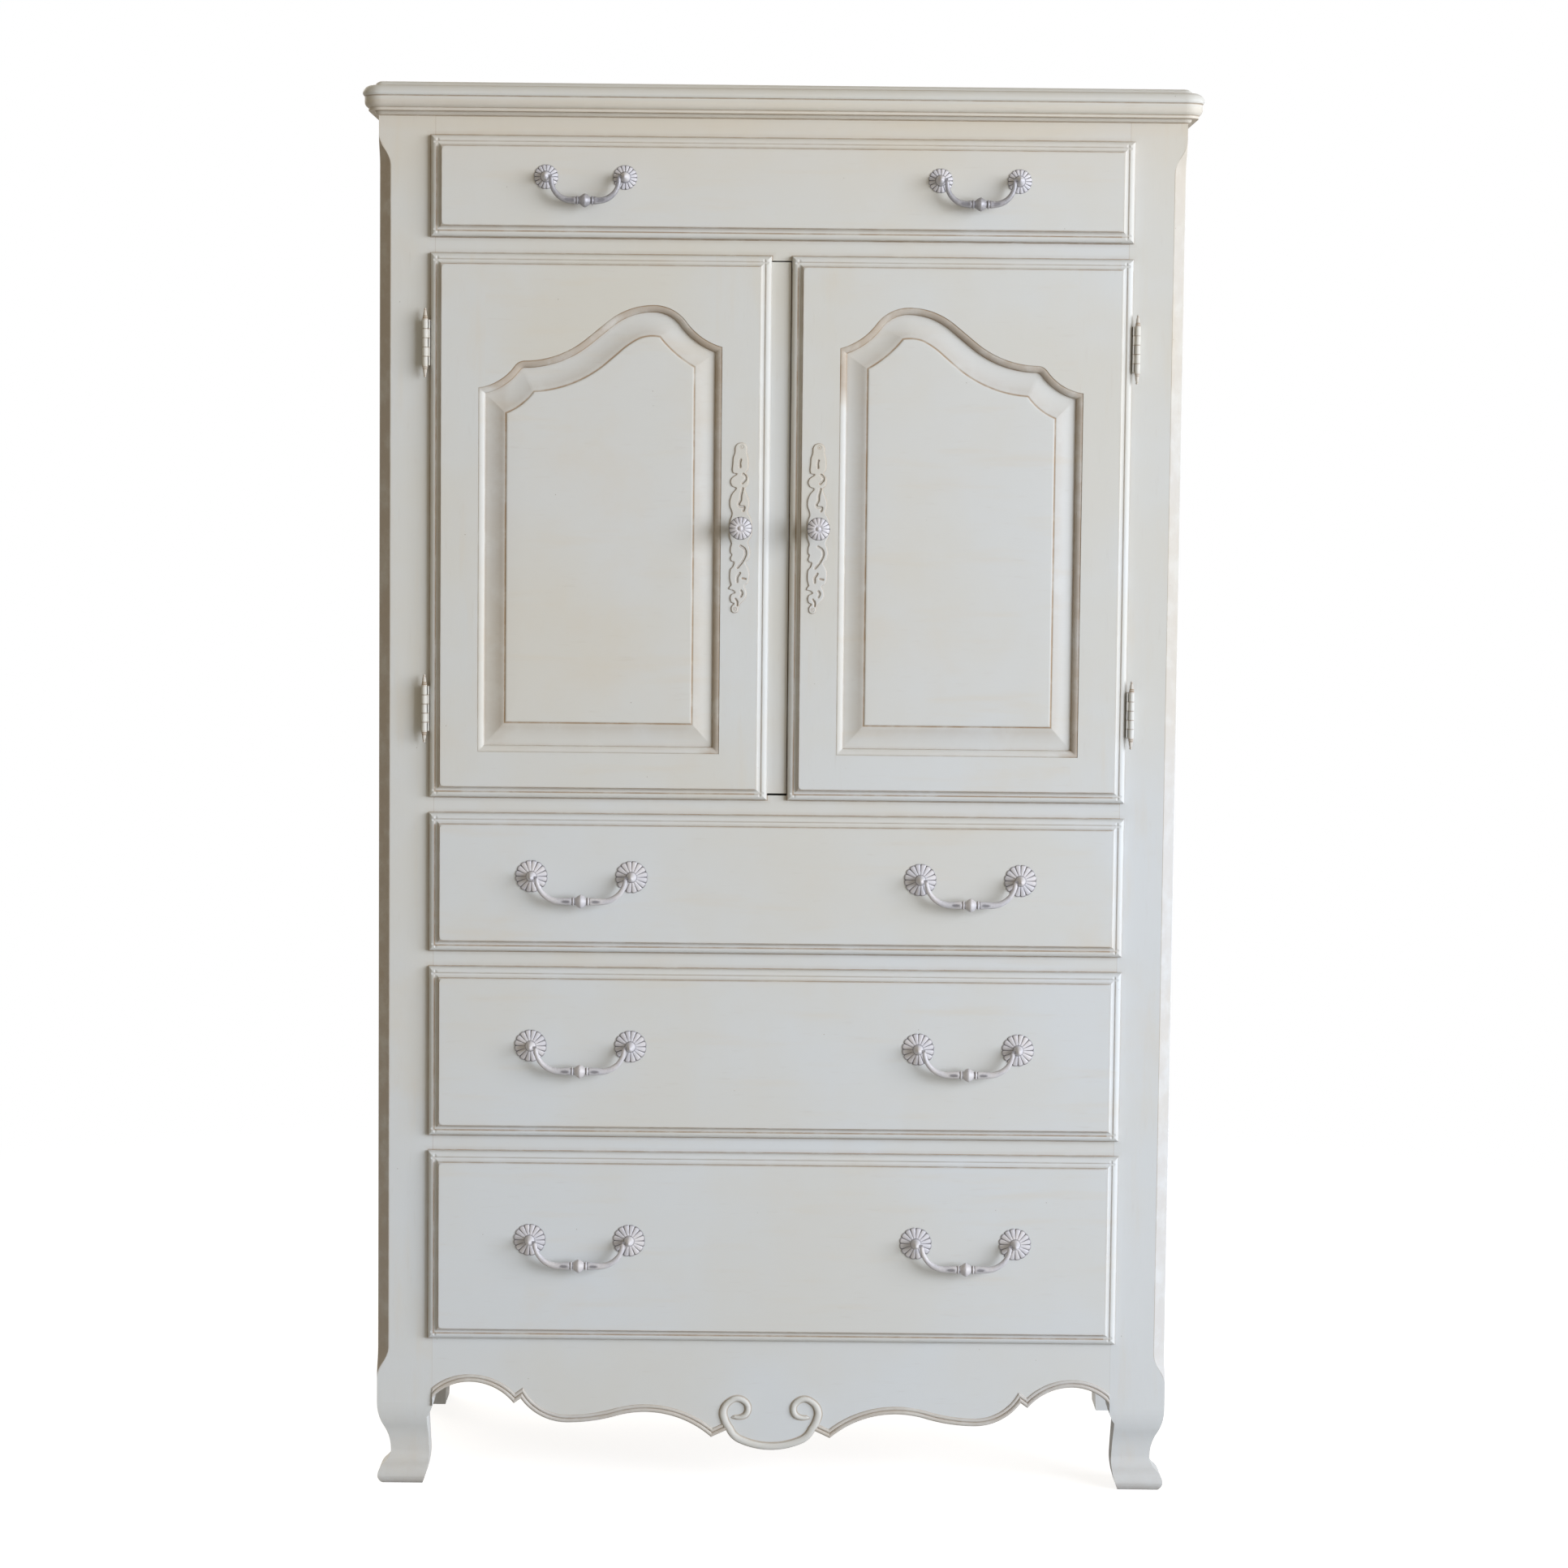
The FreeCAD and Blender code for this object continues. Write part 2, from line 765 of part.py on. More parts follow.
def drawer_front(span, centres, z):
    """A drawer's front with its holes for the pulls' screws."""
    low, high = span
    slab = lipped_slab(-lip_half_w, lip_half_w, low, high)
    inner = lip_overlap + inset_gap
    block = box(-lip_half_w + inner, lip_half_w - inner, -rest_gap, inset_t, low + inner, high - inner)
    holes = []
    for middle_x in (-pull_x, pull_x):
        for x, height in screw_places(centres, middle_x, z):
            holes.append(Part.makeCylinder(screw_r, front_rise + inset_t, V(x, field_y, height), Y_AXIS))
    return joined([slab, block]).cut(holes)


def drawer_box(span):
    """The box behind a drawer's front: two sides, a back and a bottom."""
    low = span[0] + lip_overlap + run_gap
    high = span[1] - lip_overlap - box_top_gap
    half = opening_half_w - box_side_gap
    y1 = body_depth - back_t - box_back_gap
    inner_half = half - box_wall
    bottom_z = low + box_bottom_up
    groove = box(-inner_half - box_groove, inner_half + box_groove, inset_t, y1 - box_wall + box_groove,
                 bottom_z, bottom_z + box_bottom_t)
    side = box(-half, -inner_half, inset_t, y1, low, high).cut(groove)
    back = box(-inner_half, inner_half, y1 - box_wall, y1, low, high).cut(groove)
    return [side, mirrored(side), back, groove]


# Doors
def arched_loop(shares, side_in, bottom_in, arch_down, rise):
    """A line round the left door's panel with an arched top, with the wood inside on its left."""
    left = -lip_half_w + stile_w + side_in
    right = -door_split / 2 - stile_w - side_in
    low = door_low + bottom_rail_w + bottom_in
    shoulder = door_high - arch_crest_gap - arch_rise - arch_down
    arch = [V(left + (right - left) * across, 0, shoulder + rise * up) for across, up, bulge in shares]
    curve = backwards(outline(arch, [bulge for across, up, bulge in shares], False))
    sides = polygon([arch[0], V(left, 0, low), V(right, 0, low), arch[-1]])
    return curve + sides


def tapered(outer, inner, y0, y1):
    """A solid between two like outlines at two depths."""
    return Part.makeLoft([wire(outer, y0), wire(inner, y1)], True, True)


def door_parts():
    """The left door's two stiles, two rails and raised panel."""
    low = door_low
    high = door_high
    x0 = -lip_half_w
    x1 = -door_split / 2
    inner = lip_overlap + inset_gap
    slab = lipped_slab(x0, x1, low, high)
    block = box(x0 + inner, x1 - inner, -rest_gap, inset_t, low + inner, high - inner)
    opening = arched_loop(arch_shares, 0, 0, 0, arch_rise)
    groove_line = arched_loop(field_shares, field_side_in, field_bottom_in, field_arch_down, field_arch_rise)
    sight = inset(opening, sticking_w, True)
    tongue = inset(opening, sticking_w - tongue_reach, True)
    housing = inset(opening, sticking_w - tongue_reach - tongue_gap, True)
    sight_y = field_y + sticking_drop
    quirk_y = field_y + sticking_quirk
    quirk_cut = prism(opening, field_y, quirk_y)
    front_cut = tapered(opening, sight, quirk_y, sight_y)
    through = prism(sight, sight_y, inset_t + overrun)
    slot = prism(housing, sight_y, sight_y + tongue_t + tongue_gap)
    frame = joined([slab, block]).cut([quirk_cut, front_cut, through, slot])
    bevel_end = inset(groove_line, -groove_half_w, True)
    field = inset(groove_line, groove_half_w, True)
    bevel_y = sight_y - bevel_rise
    raised = tapered(sight, bevel_end, sight_y, bevel_y)
    edge = prism(tongue, sight_y, sight_y + tongue_t)
    panel = joined([edge, raised, prism(field, bevel_y - field_step, bevel_y)])
    left = x0 + stile_w + sticking_w
    right = x1 - stile_w - sticking_w
    y0 = field_y - overrun
    y1 = inset_t + overrun
    middle = (low + high) / 2
    cuts = [
        box(x0 - overrun, left, y0, y1, low - overrun, high + overrun),
        box(right, x1 + overrun, y0, y1, low - overrun, high + overrun),
        box(left, right, y0, y1, middle, high + overrun),
        box(left, right, y0, y1, low - overrun, middle),
    ]
    return [frame.common(cut) for cut in cuts] + [panel]


def centre_strip():
    """The strip on the left door that closes the joint between the two doors."""
    low, high = door_open
    x0 = -door_split / 2 - lip_overlap - inset_gap
    x1 = door_split / 2 - strip_gap
    return box(x0, x1, 0, strip_t, low + strip_bottom_gap, high - strip_top_gap)


# Hinges, drawn round an upright axis at x = 0, y = 0 with the door to the right
def leaf_box(u0, u1, v0, v1, z0, z1):
    """A block placed from the left hinges' axis."""
    return box(u0 - pivot_x, u1 - pivot_x, v0 + pivot_y, v1 + pivot_y, z0, z1)


def knuckle_spans(middle_z):
    """The height span of each knuckle of one hinge."""
    low = middle_z - barrel_len / 2
    length = barrel_len / knuckle_count
    return [(low + i * length, low + (i + 1) * length) for i in range(knuckle_count)]


def frame_plates(z0, z1):
    """The frame leaf's plates: let into the post's face and its inner edge."""
    edge_u = pivot_x - opening_half_w
    face_v = pivot_front
    half = leaf_t / 2
    return [
        leaf_box(-half, half, barrel_r + leaf_clear, face_v + leaf_t, z0, z1),
        leaf_box(-half, edge_u, face_v, face_v + leaf_t, z0, z1),
        leaf_box(edge_u - leaf_t, edge_u, face_v, face_v + leaf_reach, z0, z1),
    ]


def door_plates(z0, z1):
    """The door leaf's plates: round the lip and on to the door's back."""
    edge_u = pivot_x - opening_half_w + inset_gap
    back_v = pivot_front + inset_t
    lip_v = pivot_front - rest_gap
    u0 = barrel_r + leaf_clear
    return [
        leaf_box(u0, u0 + leaf_t, -leaf_t / 2, lip_v, z0, z1),
        leaf_box(u0, edge_u + leaf_t, lip_v - leaf_t, lip_v, z0, z1),
        leaf_box(edge_u, edge_u + leaf_t, lip_v - leaf_t, back_v + leaf_t, z0, z1),
        leaf_box(edge_u, edge_u + leaf_reach, back_v, back_v + leaf_t, z0, z1),
    ]


def knuckle(z0, z1, bore_r):
    """One knuckle of the barrel, a little short of its span."""
    low = z0 + knuckle_gap / 2
    tall = z1 - z0 - knuckle_gap
    foot = V(-pivot_x, pivot_y, low)
    return Part.makeCylinder(barrel_r, tall, foot).cut(Part.makeCylinder(bore_r, tall, foot))


def frame_leaf(middle_z):
    """One frame leaf of the left door's hinges, with its pin and pointed finials."""
    spans = knuckle_spans(middle_z)
    z0 = spans[0][0]
    z1 = spans[-1][1]
    half = leaf_t / 2
    solids = frame_plates(z0 + knuckle_gap / 2, z1 - knuckle_gap / 2)
    for low, high in spans[::2]:
        solids.append(knuckle(low, high, hinge_pin_r))
        solids.append(leaf_box(-half, half, (hinge_pin_r + barrel_r) / 2, barrel_r + leaf_clear + half,
                               low + knuckle_gap / 2, high - knuckle_gap / 2))
    rod = Part.makeCylinder(hinge_pin_r, z1 - z0, V(-pivot_x, pivot_y, z0))
    solids.append(rod)
    for end_z, way in ((z1 - knuckle_gap / 2, 1), (z0 + knuckle_gap / 2, -1)):
        solids += finial(end_z, way)
    return joined(solids)


def finial(end_z, way):
    """A tapered finial with a ball tip at one end of a hinge's pin."""
    neck = finial_len - 2 * finial_ball_r
    foot = V(-pivot_x, pivot_y, end_z)
    spire = Part.makeCone(finial_r, finial_ball_r / 2, neck + finial_ball_r, foot, V(0, 0, way))
    ball = Part.makeSphere(finial_ball_r, V(-pivot_x, pivot_y, end_z + way * (neck + finial_ball_r)))
    return [spire, ball]


def door_leaf(middle_z):
    """One door leaf of the left door's hinges."""
    spans = knuckle_spans(middle_z)
    z0 = spans[0][0] + knuckle_gap / 2
    z1 = spans[-1][1] - knuckle_gap / 2
    half = leaf_t / 2
    solids = door_plates(z0, z1)
    for low, high in spans[1::2]:
        solids.append(knuckle(low, high, hinge_pin_r + pin_gap))
        solids.append(leaf_box((hinge_pin_r + barrel_r) / 2, barrel_r + leaf_clear + half, -half, half,
                               low + knuckle_gap / 2, high - knuckle_gap / 2))
    return joined(solids)


def leaf_room(plates):
    """What the leaves take out of the wood they are let into."""
    cuts = []
    for middle_z in hinge_heights:
        spans = knuckle_spans(middle_z)
        cuts += plates(spans[0][0] + knuckle_gap / 2, spans[-1][1] - knuckle_gap / 2)
    return cuts


# Knobs
def turned(points):
    """A solid turned round the y axis from (radius, distance from the front) points."""
    outline_points = [V(radius, -away, 0) for radius, away in points]
    face = Part.Face(Part.makePolygon(outline_points + [outline_points[0]]))
    return face.revolve(ORIGIN, Y_AXIS, 360)


def knob():
    """The left door's knob: a foot, a neck and a round head."""
    head_back = knob_stand - knob_head_t
    shoulder = knob_head_t / 3
    solid = turned([
        (0, plate_t),
        (knob_foot_r, plate_t),
        (knob_foot_r, knob_foot_t),
        (knob_neck_r, knob_foot_t * 2),
        (knob_neck_r, head_back - shoulder),
        (knob_r - shoulder / 2, head_back),
        (knob_r, head_back + shoulder),
        (knob_r, knob_stand - shoulder),
        (knob_r - shoulder, knob_stand - shoulder / 2),
        (0, knob_stand),
    ])
    return moved(solid, knob_x, field_y, knob_z)


def knob_plate():
    """The left door's thin plate behind the knob, with a scalloped edge."""
    right = []
    for along, wide in plate_shares:
        reach = plate_up if along > 0 else plate_down
        right.append(V(plate_half_w * wide, 0, knob_z + reach * along))
    left = [V(-point.x, 0, point.z) for point in reversed(right)]
    points = left + right
    parts = outline(points, [plate_round_share] * len(points), True)
    return moved(prism(parts, field_y - plate_t, field_y), knob_x, 0, 0)


# Drawer pulls
def rosette(radius):
    """A round plate with a lobed rim, domed towards its middle."""
    turn = 2 * math.pi / rosette_lobes
    inner = radius - lobe_depth
    points = [V(inner * math.cos(i * turn), 0, inner * math.sin(i * turn)) for i in range(rosette_lobes)]
    half_chord = inner * math.sin(turn / 2)
    bulge = (radius - inner * math.cos(turn / 2)) / half_chord
    rim = prism(outline(points, [bulge] * rosette_lobes, True), -rosette_dome, 0)
    dome_foot = (pull_post_base_r, rosette_dome)
    dish = turned([(0, 0), (radius, 0), (radius, rosette_t), dome_foot, (0, rosette_dome)])
    bore = Part.makeCylinder(screw_r, rosette_dome, V(0, -rosette_dome, 0), Y_AXIS)
    return rim.common(dish).cut(bore)


def pull_post(hole_way):
    """A pointed post with a blind hole on the side of the bail, and its screw."""
    bow = math.sqrt(0.5)
    solid = turned([
        (0, rosette_dome),
        (pull_post_base_r, rosette_dome),
        (pull_post_tip_r, pull_post_stand - pull_post_tip_r),
        (pull_post_tip_r * bow, pull_post_stand - pull_post_tip_r * (1 - bow)),
        (0, pull_post_stand),
    ])
    start = pull_post_surface() - bail_pin_in - pin_gap
    mouth = V(hole_way * start, -pull_pivot_out, 0)
    hole = Part.makeCylinder(bail_pin_r + pin_gap, pull_post_base_r, mouth, V(hole_way, 0, 0))
    shank = Part.makeCylinder(screw_r, rosette_dome + front_rise + inset_t, V(0, -rosette_dome, 0), Y_AXIS)
    head = Part.makeCylinder(screw_head_r, screw_head_t, V(0, front_rise + inset_t, 0), Y_AXIS)
    return joined([solid.cut(hole), shank, head])


def pull_post_surface():
    """The post's radius at the height of the bail's pin."""
    share = (pull_pivot_out - rosette_dome) / (pull_post_stand - pull_post_tip_r - rosette_dome)
    return pull_post_base_r + (pull_post_tip_r - pull_post_base_r) * share


def pull_mounts(centres, radius, z):
    """Both pulls' rosettes and posts on one drawer."""
    solids = []
    plate = rosette(radius)
    for middle_x in (-pull_x, pull_x):
        (left_x, height), (right_x, same) = screw_places(centres, middle_x, z)
        for x, way in ((left_x, 1), (right_x, -1)):
            solids.append(moved(plate, x, field_y, height))
            solids.append(moved(pull_post(way), x, field_y, height))
    return solids


def bail(centres, bend_r, middle_x, z):
    """A bail handle that hangs from its two pins."""
    end_x = centres / 2 - bail_end_in
    bend_x = end_x - bend_r
    bend_z = bend_r - bail_drop
    pin_tip = centres / 2 - pull_post_surface() + bail_pin_in
    solids = [
        Part.makeCylinder(bail_pin_r, pin_tip - end_x, V(end_x, 0, 0), X_AXIS),
        Part.makeSphere(bail_end_r, V(end_x, 0, 0)),
    ]
    if bend_z < 0:
        solids.append(Part.makeCylinder(bail_end_r, -bend_z, V(end_x, 0, bend_z)))
    bow = bend_r * math.sqrt(0.5)
    path = wire([(V(end_x, 0, bend_z), V(bend_x + bow, 0, bend_z - bow), V(bend_x, 0, -bail_drop))], 0)
    start = Part.Wire([Part.makeCircle(bail_end_r, V(end_x, 0, bend_z), Z_AXIS)])
    end = Part.Wire([Part.makeCircle(bail_elbow_r, V(bend_x, 0, -bail_drop), X_AXIS)])
    solids.append(path.makePipeShell([start, end], True, False))
    solids.append(Part.makeCone(bail_mid_r, bail_elbow_r, bend_x, V(0, 0, -bail_drop), X_AXIS))
    collar_x = bail_bead_half_w + bail_collar_w
    solids.append(Part.makeCylinder(bail_collar_r, bail_collar_w, V(collar_x, 0, -bail_drop), X_AXIS))
    half = joined(solids)
    bead = Part.makeSphere(bail_bead_r, V(0, 0, -bail_drop))
    slice_box = box(-bail_bead_half_w, bail_bead_half_w, -bail_bead_r, bail_bead_r,
                    -bail_drop - bail_bead_r, bail_bead_r - bail_drop)
    solid = joined([half, mirrored(half), bead.common(slice_box)])
    return moved(solid, middle_x, pull_pivot_y, z)


os.makedirs("parts", exist_ok=True)

save("top_board", [top_board()])
save("cornice_moulding", [cornice_moulding()])

post = front_post().cut(leaf_room(frame_plates))
save("left_front_post", [post])
save("right_front_post", [mirrored(post)])
back_leg = rear_post()
save("left_rear_post", [back_leg])
save("right_rear_post", [mirrored(back_leg)])

pins = shelf_pins()
side = side_panel().cut(pins)
save("left_side_panel", [side])
save("right_side_panel", [mirrored(side)])
save("back_panel", [back_panel()])

save("top_rail", [rail(top_open[1], frame_top_z)])
save("upper_door_rail", [rail(door_open[1], top_open[0])])
save("lower_door_rail", [rail(second_open[1], door_open[0])])
save("upper_drawer_rail", [rail(third_open[1], second_open[0])])
save("lower_drawer_rail", [rail(bottom_open[1], third_open[0])])
save("front_apron", [front_apron()])

levels = (third_open[0], second_open[0], door_open[0], top_open[0])
save("dust_panels", [inner_board(low) for low in levels])
save("case_floor", [inner_board(bottom_open[0])])
guides = [drawer_guide(low) for low in (bottom_open[0], third_open[0], second_open[0], top_open[0])]
save("drawer_guides", guides + [mirrored(guide) for guide in guides])
save("cabinet_shelf", [cabinet_shelf()])
save("shelf_pins", pins)
catch = door_catch()
save("door_catches", [catch, mirrored(catch)])

frame_leaves = [frame_leaf(z) for z in hinge_heights]
door_leaves = [door_leaf(z) for z in hinge_heights]
save("left_frame_leaves", frame_leaves)
save("right_frame_leaves", [mirrored(leaf) for leaf in frame_leaves])
save("left_door_leaves", door_leaves)
save("right_door_leaves", [mirrored(leaf) for leaf in door_leaves])

names = ["hinge_stile", "meeting_stile", "top_rail", "bottom_rail", "panel"]
for name, wood in zip(names, door_parts()):
    wood = wood.cut(leaf_room(door_plates)) if name == "hinge_stile" else wood
    save("left_door_" + name, [wood])
    save("right_door_" + name, [mirrored(wood)])
save("left_door_centre_strip", [centre_strip()])

for name, made in (("knob", knob()), ("knob_plate", knob_plate())):
    save("left_door_" + name, [made])
    save("right_door_" + name, [mirrored(made)])

large_pull = (large_pull_centres, large_rosette_r, bail_drop, large_pull_up)
small_pull = (small_pull_centres, small_rosette_r, small_bail_r, small_pull_up)
drawers = [
    ("bottom_drawer", front_spans[0], large_pull),
    ("third_drawer", front_spans[1], large_pull),
    ("second_drawer", front_spans[2], large_pull),
    ("top_drawer", front_spans[4], small_pull),
]
for name, span, (centres, rosette_r, bend_r, pull_up) in drawers:
    z = (span[0] + span[1]) / 2 + pull_up
    save(name + "_front", [drawer_front(span, centres, z)])
    save(name + "_box", drawer_box(span))
    save(name + "_pull_mounts", pull_mounts(centres, rosette_r, z))
    save(name + "_left_bail", [bail(centres, bend_r, -pull_x, z)])
    save(name + "_right_bail", [bail(centres, bend_r, pull_x, z)])
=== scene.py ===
import json
import math
from functools import reduce

import bmesh
import bpy
import numpy as np
from mathutils import Matrix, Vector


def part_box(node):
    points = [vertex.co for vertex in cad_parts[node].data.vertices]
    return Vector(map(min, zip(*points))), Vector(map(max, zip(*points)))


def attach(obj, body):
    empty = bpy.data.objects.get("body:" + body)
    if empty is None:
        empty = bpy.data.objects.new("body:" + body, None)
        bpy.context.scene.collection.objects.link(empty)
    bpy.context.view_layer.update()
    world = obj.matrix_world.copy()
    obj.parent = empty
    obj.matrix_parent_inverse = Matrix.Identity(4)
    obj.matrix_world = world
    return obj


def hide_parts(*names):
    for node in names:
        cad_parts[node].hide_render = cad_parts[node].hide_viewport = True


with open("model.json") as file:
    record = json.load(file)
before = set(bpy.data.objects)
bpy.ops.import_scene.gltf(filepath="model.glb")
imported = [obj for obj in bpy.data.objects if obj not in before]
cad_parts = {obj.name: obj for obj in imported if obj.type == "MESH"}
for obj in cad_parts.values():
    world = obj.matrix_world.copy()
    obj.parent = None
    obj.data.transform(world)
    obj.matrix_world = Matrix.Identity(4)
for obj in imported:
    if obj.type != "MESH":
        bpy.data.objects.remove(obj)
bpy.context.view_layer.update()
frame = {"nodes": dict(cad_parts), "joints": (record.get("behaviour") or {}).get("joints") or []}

# All sizes below are in millimetres: x to the right, y backwards from the face frame's front,
# z up from the floor. They become metres in the shared frame only when a mesh is made.
MM = 0.001
face_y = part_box("top_rail")[0].y / MM
pivots = {joint["name"]: joint["pos_m"] for joint in frame["joints"] if "pos_m" in joint}
drawer_names = ("top_drawer", "second_drawer", "third_drawer", "bottom_drawer")


def rectangle(*nodes):
    """The outline of some nodes seen from the front: left, right, low and high."""
    lows, highs = zip(*[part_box(node) for node in nodes])
    return (min(low.x for low in lows) / MM, max(high.x for high in highs) / MM,
            min(low.z for low in lows) / MM, max(high.z for high in highs) / MM)


fronts = {name: rectangle(name + "_front") for name in drawer_names}
for side in ("left", "right"):
    fronts[side + "_door"] = rectangle(side + "_door_hinge_stile", side + "_door_meeting_stile")
door_middle_z = sum(fronts["left_door"][2:]) / 2
post_x = rectangle("front_apron")[1]
chest_half_w = rectangle("right_front_post")[1]
frame_top_z = rectangle("top_rail")[3]
moulding_foot_z = rectangle("cornice_moulding")[2]
chest_h = rectangle("top_board")[3]

# A hinge's middle from the door's, and half the length of its barrel
hinge_out = 207
barrel_half = 26

# A front's section: its depths in front of the face frame, and its lines in from its edge
field_y = -12.7
sight_y = -6.5
quirk_in = 6.9
field_in = 12.4

# The chamfer on a post: its width, and where it starts and ends to taper
chamfer_w = 13.3
chamfer_foot = (124, 161.5)
chamfer_head = (1513.2, 1550.7)


# Curves in the front's plane, as complex numbers x + iz
def arc_centre(start, end, bulge):
    """The centre of an arc: from the chord's middle to the left, half the chord over the
    tangent of half the turn."""
    return (start + end) / 2 + 1j * (end - start) / 2 / math.tan(2 * math.atan(bulge))


def way(start, end, bulge, point):
    """The direction of travel at a point of a line or arc: along the chord, or square to the
    spoke on the side of the turn."""
    if bulge == 0:
        return (end - start) / abs(end - start)
    spoke = point - arc_centre(start, end, bulge)
    return 1j * spoke / abs(spoke) * math.copysign(1, bulge)


def moved_corner(before, after, distances):
    """Where two pieces of an outline meet once both have moved to the left by each distance:
    the bisector's point, bettered by Newton steps on both pieces' distance functions."""
    point = before[1]
    n1 = 1j * way(*before, point)
    n2 = 1j * way(*after, point)
    corner = point + (n1 + n2) * distances / (1 + (n1 * n2.conjugate()).real)
    if abs((n1.conjugate() * n2).imag) < 0.1:
        return corner
    for step in range(8):
        gaps = []
        for start, end, bulge in (before, after):
            if bulge == 0:
                normal = 1j * (end - start) / abs(end - start)
                gaps.append((((corner - start) * normal.conjugate()).real - distances, normal))
            else:
                centre = arc_centre(start, end, bulge)
                spoke = corner - centre
                reach = abs(start - centre) - math.copysign(1, bulge) * distances
                gaps.append((abs(spoke) - reach, spoke / abs(spoke)))
        (g1, w1), (g2, w2) = gaps
        turn = w1.real * w2.imag - w1.imag * w2.real
        corner = corner - ((g1 * w2.imag - g2 * w1.imag) + 1j * (g2 * w1.real - g1 * w2.real)) / turn
    return corner


def outline_grid(points, bulges, distances, closed, shares):
    """Rows of points along an outline of lines and arcs, one column for each distance to its
    left. Between its moved corners a piece is centre + spoke * (end spoke / spoke) ** share,
    and a line is start + run * share."""
    distances = np.asarray(distances, float)
    count = len(points) if closed else len(points) - 1
    pieces = [(points[i], points[(i + 1) % len(points)], bulges[i]) for i in range(count)]
    corners = [moved_corner(pieces[i - 1], pieces[i], distances) for i in range(count)]
    if not closed:
        corners[0] = points[0] + 1j * way(*pieces[0], points[0]) * distances
    last = points[-1] + 1j * way(*pieces[-1], points[-1]) * distances
    corners.append(corners[0] if closed else last)
    rows = []
    for i, (start, end, bulge) in enumerate(pieces):
        first, final = corners[i], corners[i + 1]
        share = shares[:-1, None] if closed or i < count - 1 else shares[:, None]
        if bulge == 0:
            rows.append(first + (final - first) * share)
        else:
            centre = arc_centre(start, end, bulge)
            rows.append(centre + (first - centre) * ((final - centre) / (first - centre)) ** share)
    return np.concatenate(rows)


def crisp(count):
    """Shares along a piece of an outline, with two close to its ends, so that mitres stay sharp."""
    return np.concatenate([[0, 0.004], np.linspace(0.03, 0.97, count), [0.996, 1]])


def solid_points(plane, depths):
    """Points (x, y, z) from complex x + iz and a depth for each column."""
    plane = np.asarray(plane)
    return np.stack([plane.real, np.broadcast_to(depths, plane.shape), plane.imag], -1)


# Meshes
def quads(rows, columns, wrap_rows=False, wrap_columns=False):
    """The faces of a grid, as point numbers, closed round in either direction if asked."""
    numbers = np.arange(rows * columns).reshape(rows, columns)
    if wrap_rows:
        numbers = np.vstack([numbers, numbers[:1]])
    if wrap_columns:
        numbers = np.hstack([numbers, numbers[:, :1]])
    corners = [numbers[:-1, :-1], numbers[1:, :-1], numbers[1:, 1:], numbers[:-1, 1:]]
    return np.stack(corners, -1).reshape(-1, 4)


def surface(points, glaze, wrap_rows=False, wrap_columns=False):
    """One surface of a piece: its points, faces, and how much glaze lies on each point."""
    rows, columns = points.shape[:2]
    faces = quads(rows, columns, wrap_rows, wrap_columns)
    return points.reshape(-1, 3), faces.tolist(), np.broadcast_to(glaze, (rows, columns)).reshape(-1)


def ends_closed(points):
    """A grid with its first and last row drawn together to their middles."""
    first = np.broadcast_to(points[0].mean(0), points[:1].shape)
    last = np.broadcast_to(points[-1].mean(0), points[:1].shape)
    return np.concatenate([first, points, last])


def added(name, data):
    """A new object in the scene: a mesh, a lamp or a camera."""
    item = bpy.data.objects.new(name, data)
    bpy.context.scene.collection.objects.link(item)
    return item


def make(name, body, finish, surfaces, replaced=(), angle=35):
    """One piece out of several closed surfaces, with its points merged and its faces outwards."""
    all_points, all_faces, glazes = zip(*surfaces)
    points = np.concatenate(all_points)
    faces = []
    start = 0
    for own_points, own_faces in zip(all_points, all_faces):
        faces += [[number + start for number in face] for face in own_faces]
        start += len(own_points)
    mesh = bpy.data.meshes.new(name)
    mesh.from_pydata((points + (0, face_y, 0)) * MM, [], faces)
    layer = mesh.attributes.new("glaze", "FLOAT", "POINT")
    layer.data.foreach_set("value", np.concatenate(glazes).astype(np.float32))
    cleaned = bmesh.new()
    cleaned.from_mesh(mesh)
    bmesh.ops.remove_doubles(cleaned, verts=cleaned.verts, dist=2e-6)
    bmesh.ops.recalc_face_normals(cleaned, faces=cleaned.faces)
    cleaned.to_mesh(mesh)
    cleaned.free()
    mesh.polygons.foreach_set("use_smooth", np.ones(len(mesh.polygons), bool))
    mesh.set_sharp_from_angle(angle=math.radians(angle))
    piece = added(name, mesh)
    mesh.materials.append(finish)
    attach(piece, body)
    if replaced:
        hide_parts(*replaced)


# Shader arithmetic
class Value:
    """A number in a material. Ordinary arithmetic on it adds Math nodes."""

    def __init__(self, finish, socket):
        self.finish = finish
        self.socket = socket

    def __add__(self, other):
        return self.finish.maths("ADD", self, other)

    __radd__ = __add__

    def __mul__(self, other):
        return self.finish.maths("MULTIPLY", self, other)

    __rmul__ = __mul__

    def __sub__(self, other):
        return self.finish.maths("SUBTRACT", self, other)

    def __rsub__(self, other):
        return self.finish.maths("SUBTRACT", other, self)

    def __truediv__(self, other):
        return self.finish.maths("DIVIDE", self, other)

    def __abs__(self):
        return self.finish.maths("ABSOLUTE", self)


def colour(red, green, blue):
    """A colour as it looks on a screen, from 0 to 255, made linear."""
    shares = [value / 255 for value in (red, green, blue)]
    return tuple(s / 12.92 if s <= 0.04045 else ((s + 0.055) / 1.055) ** 2.4 for s in shares) + (1,)


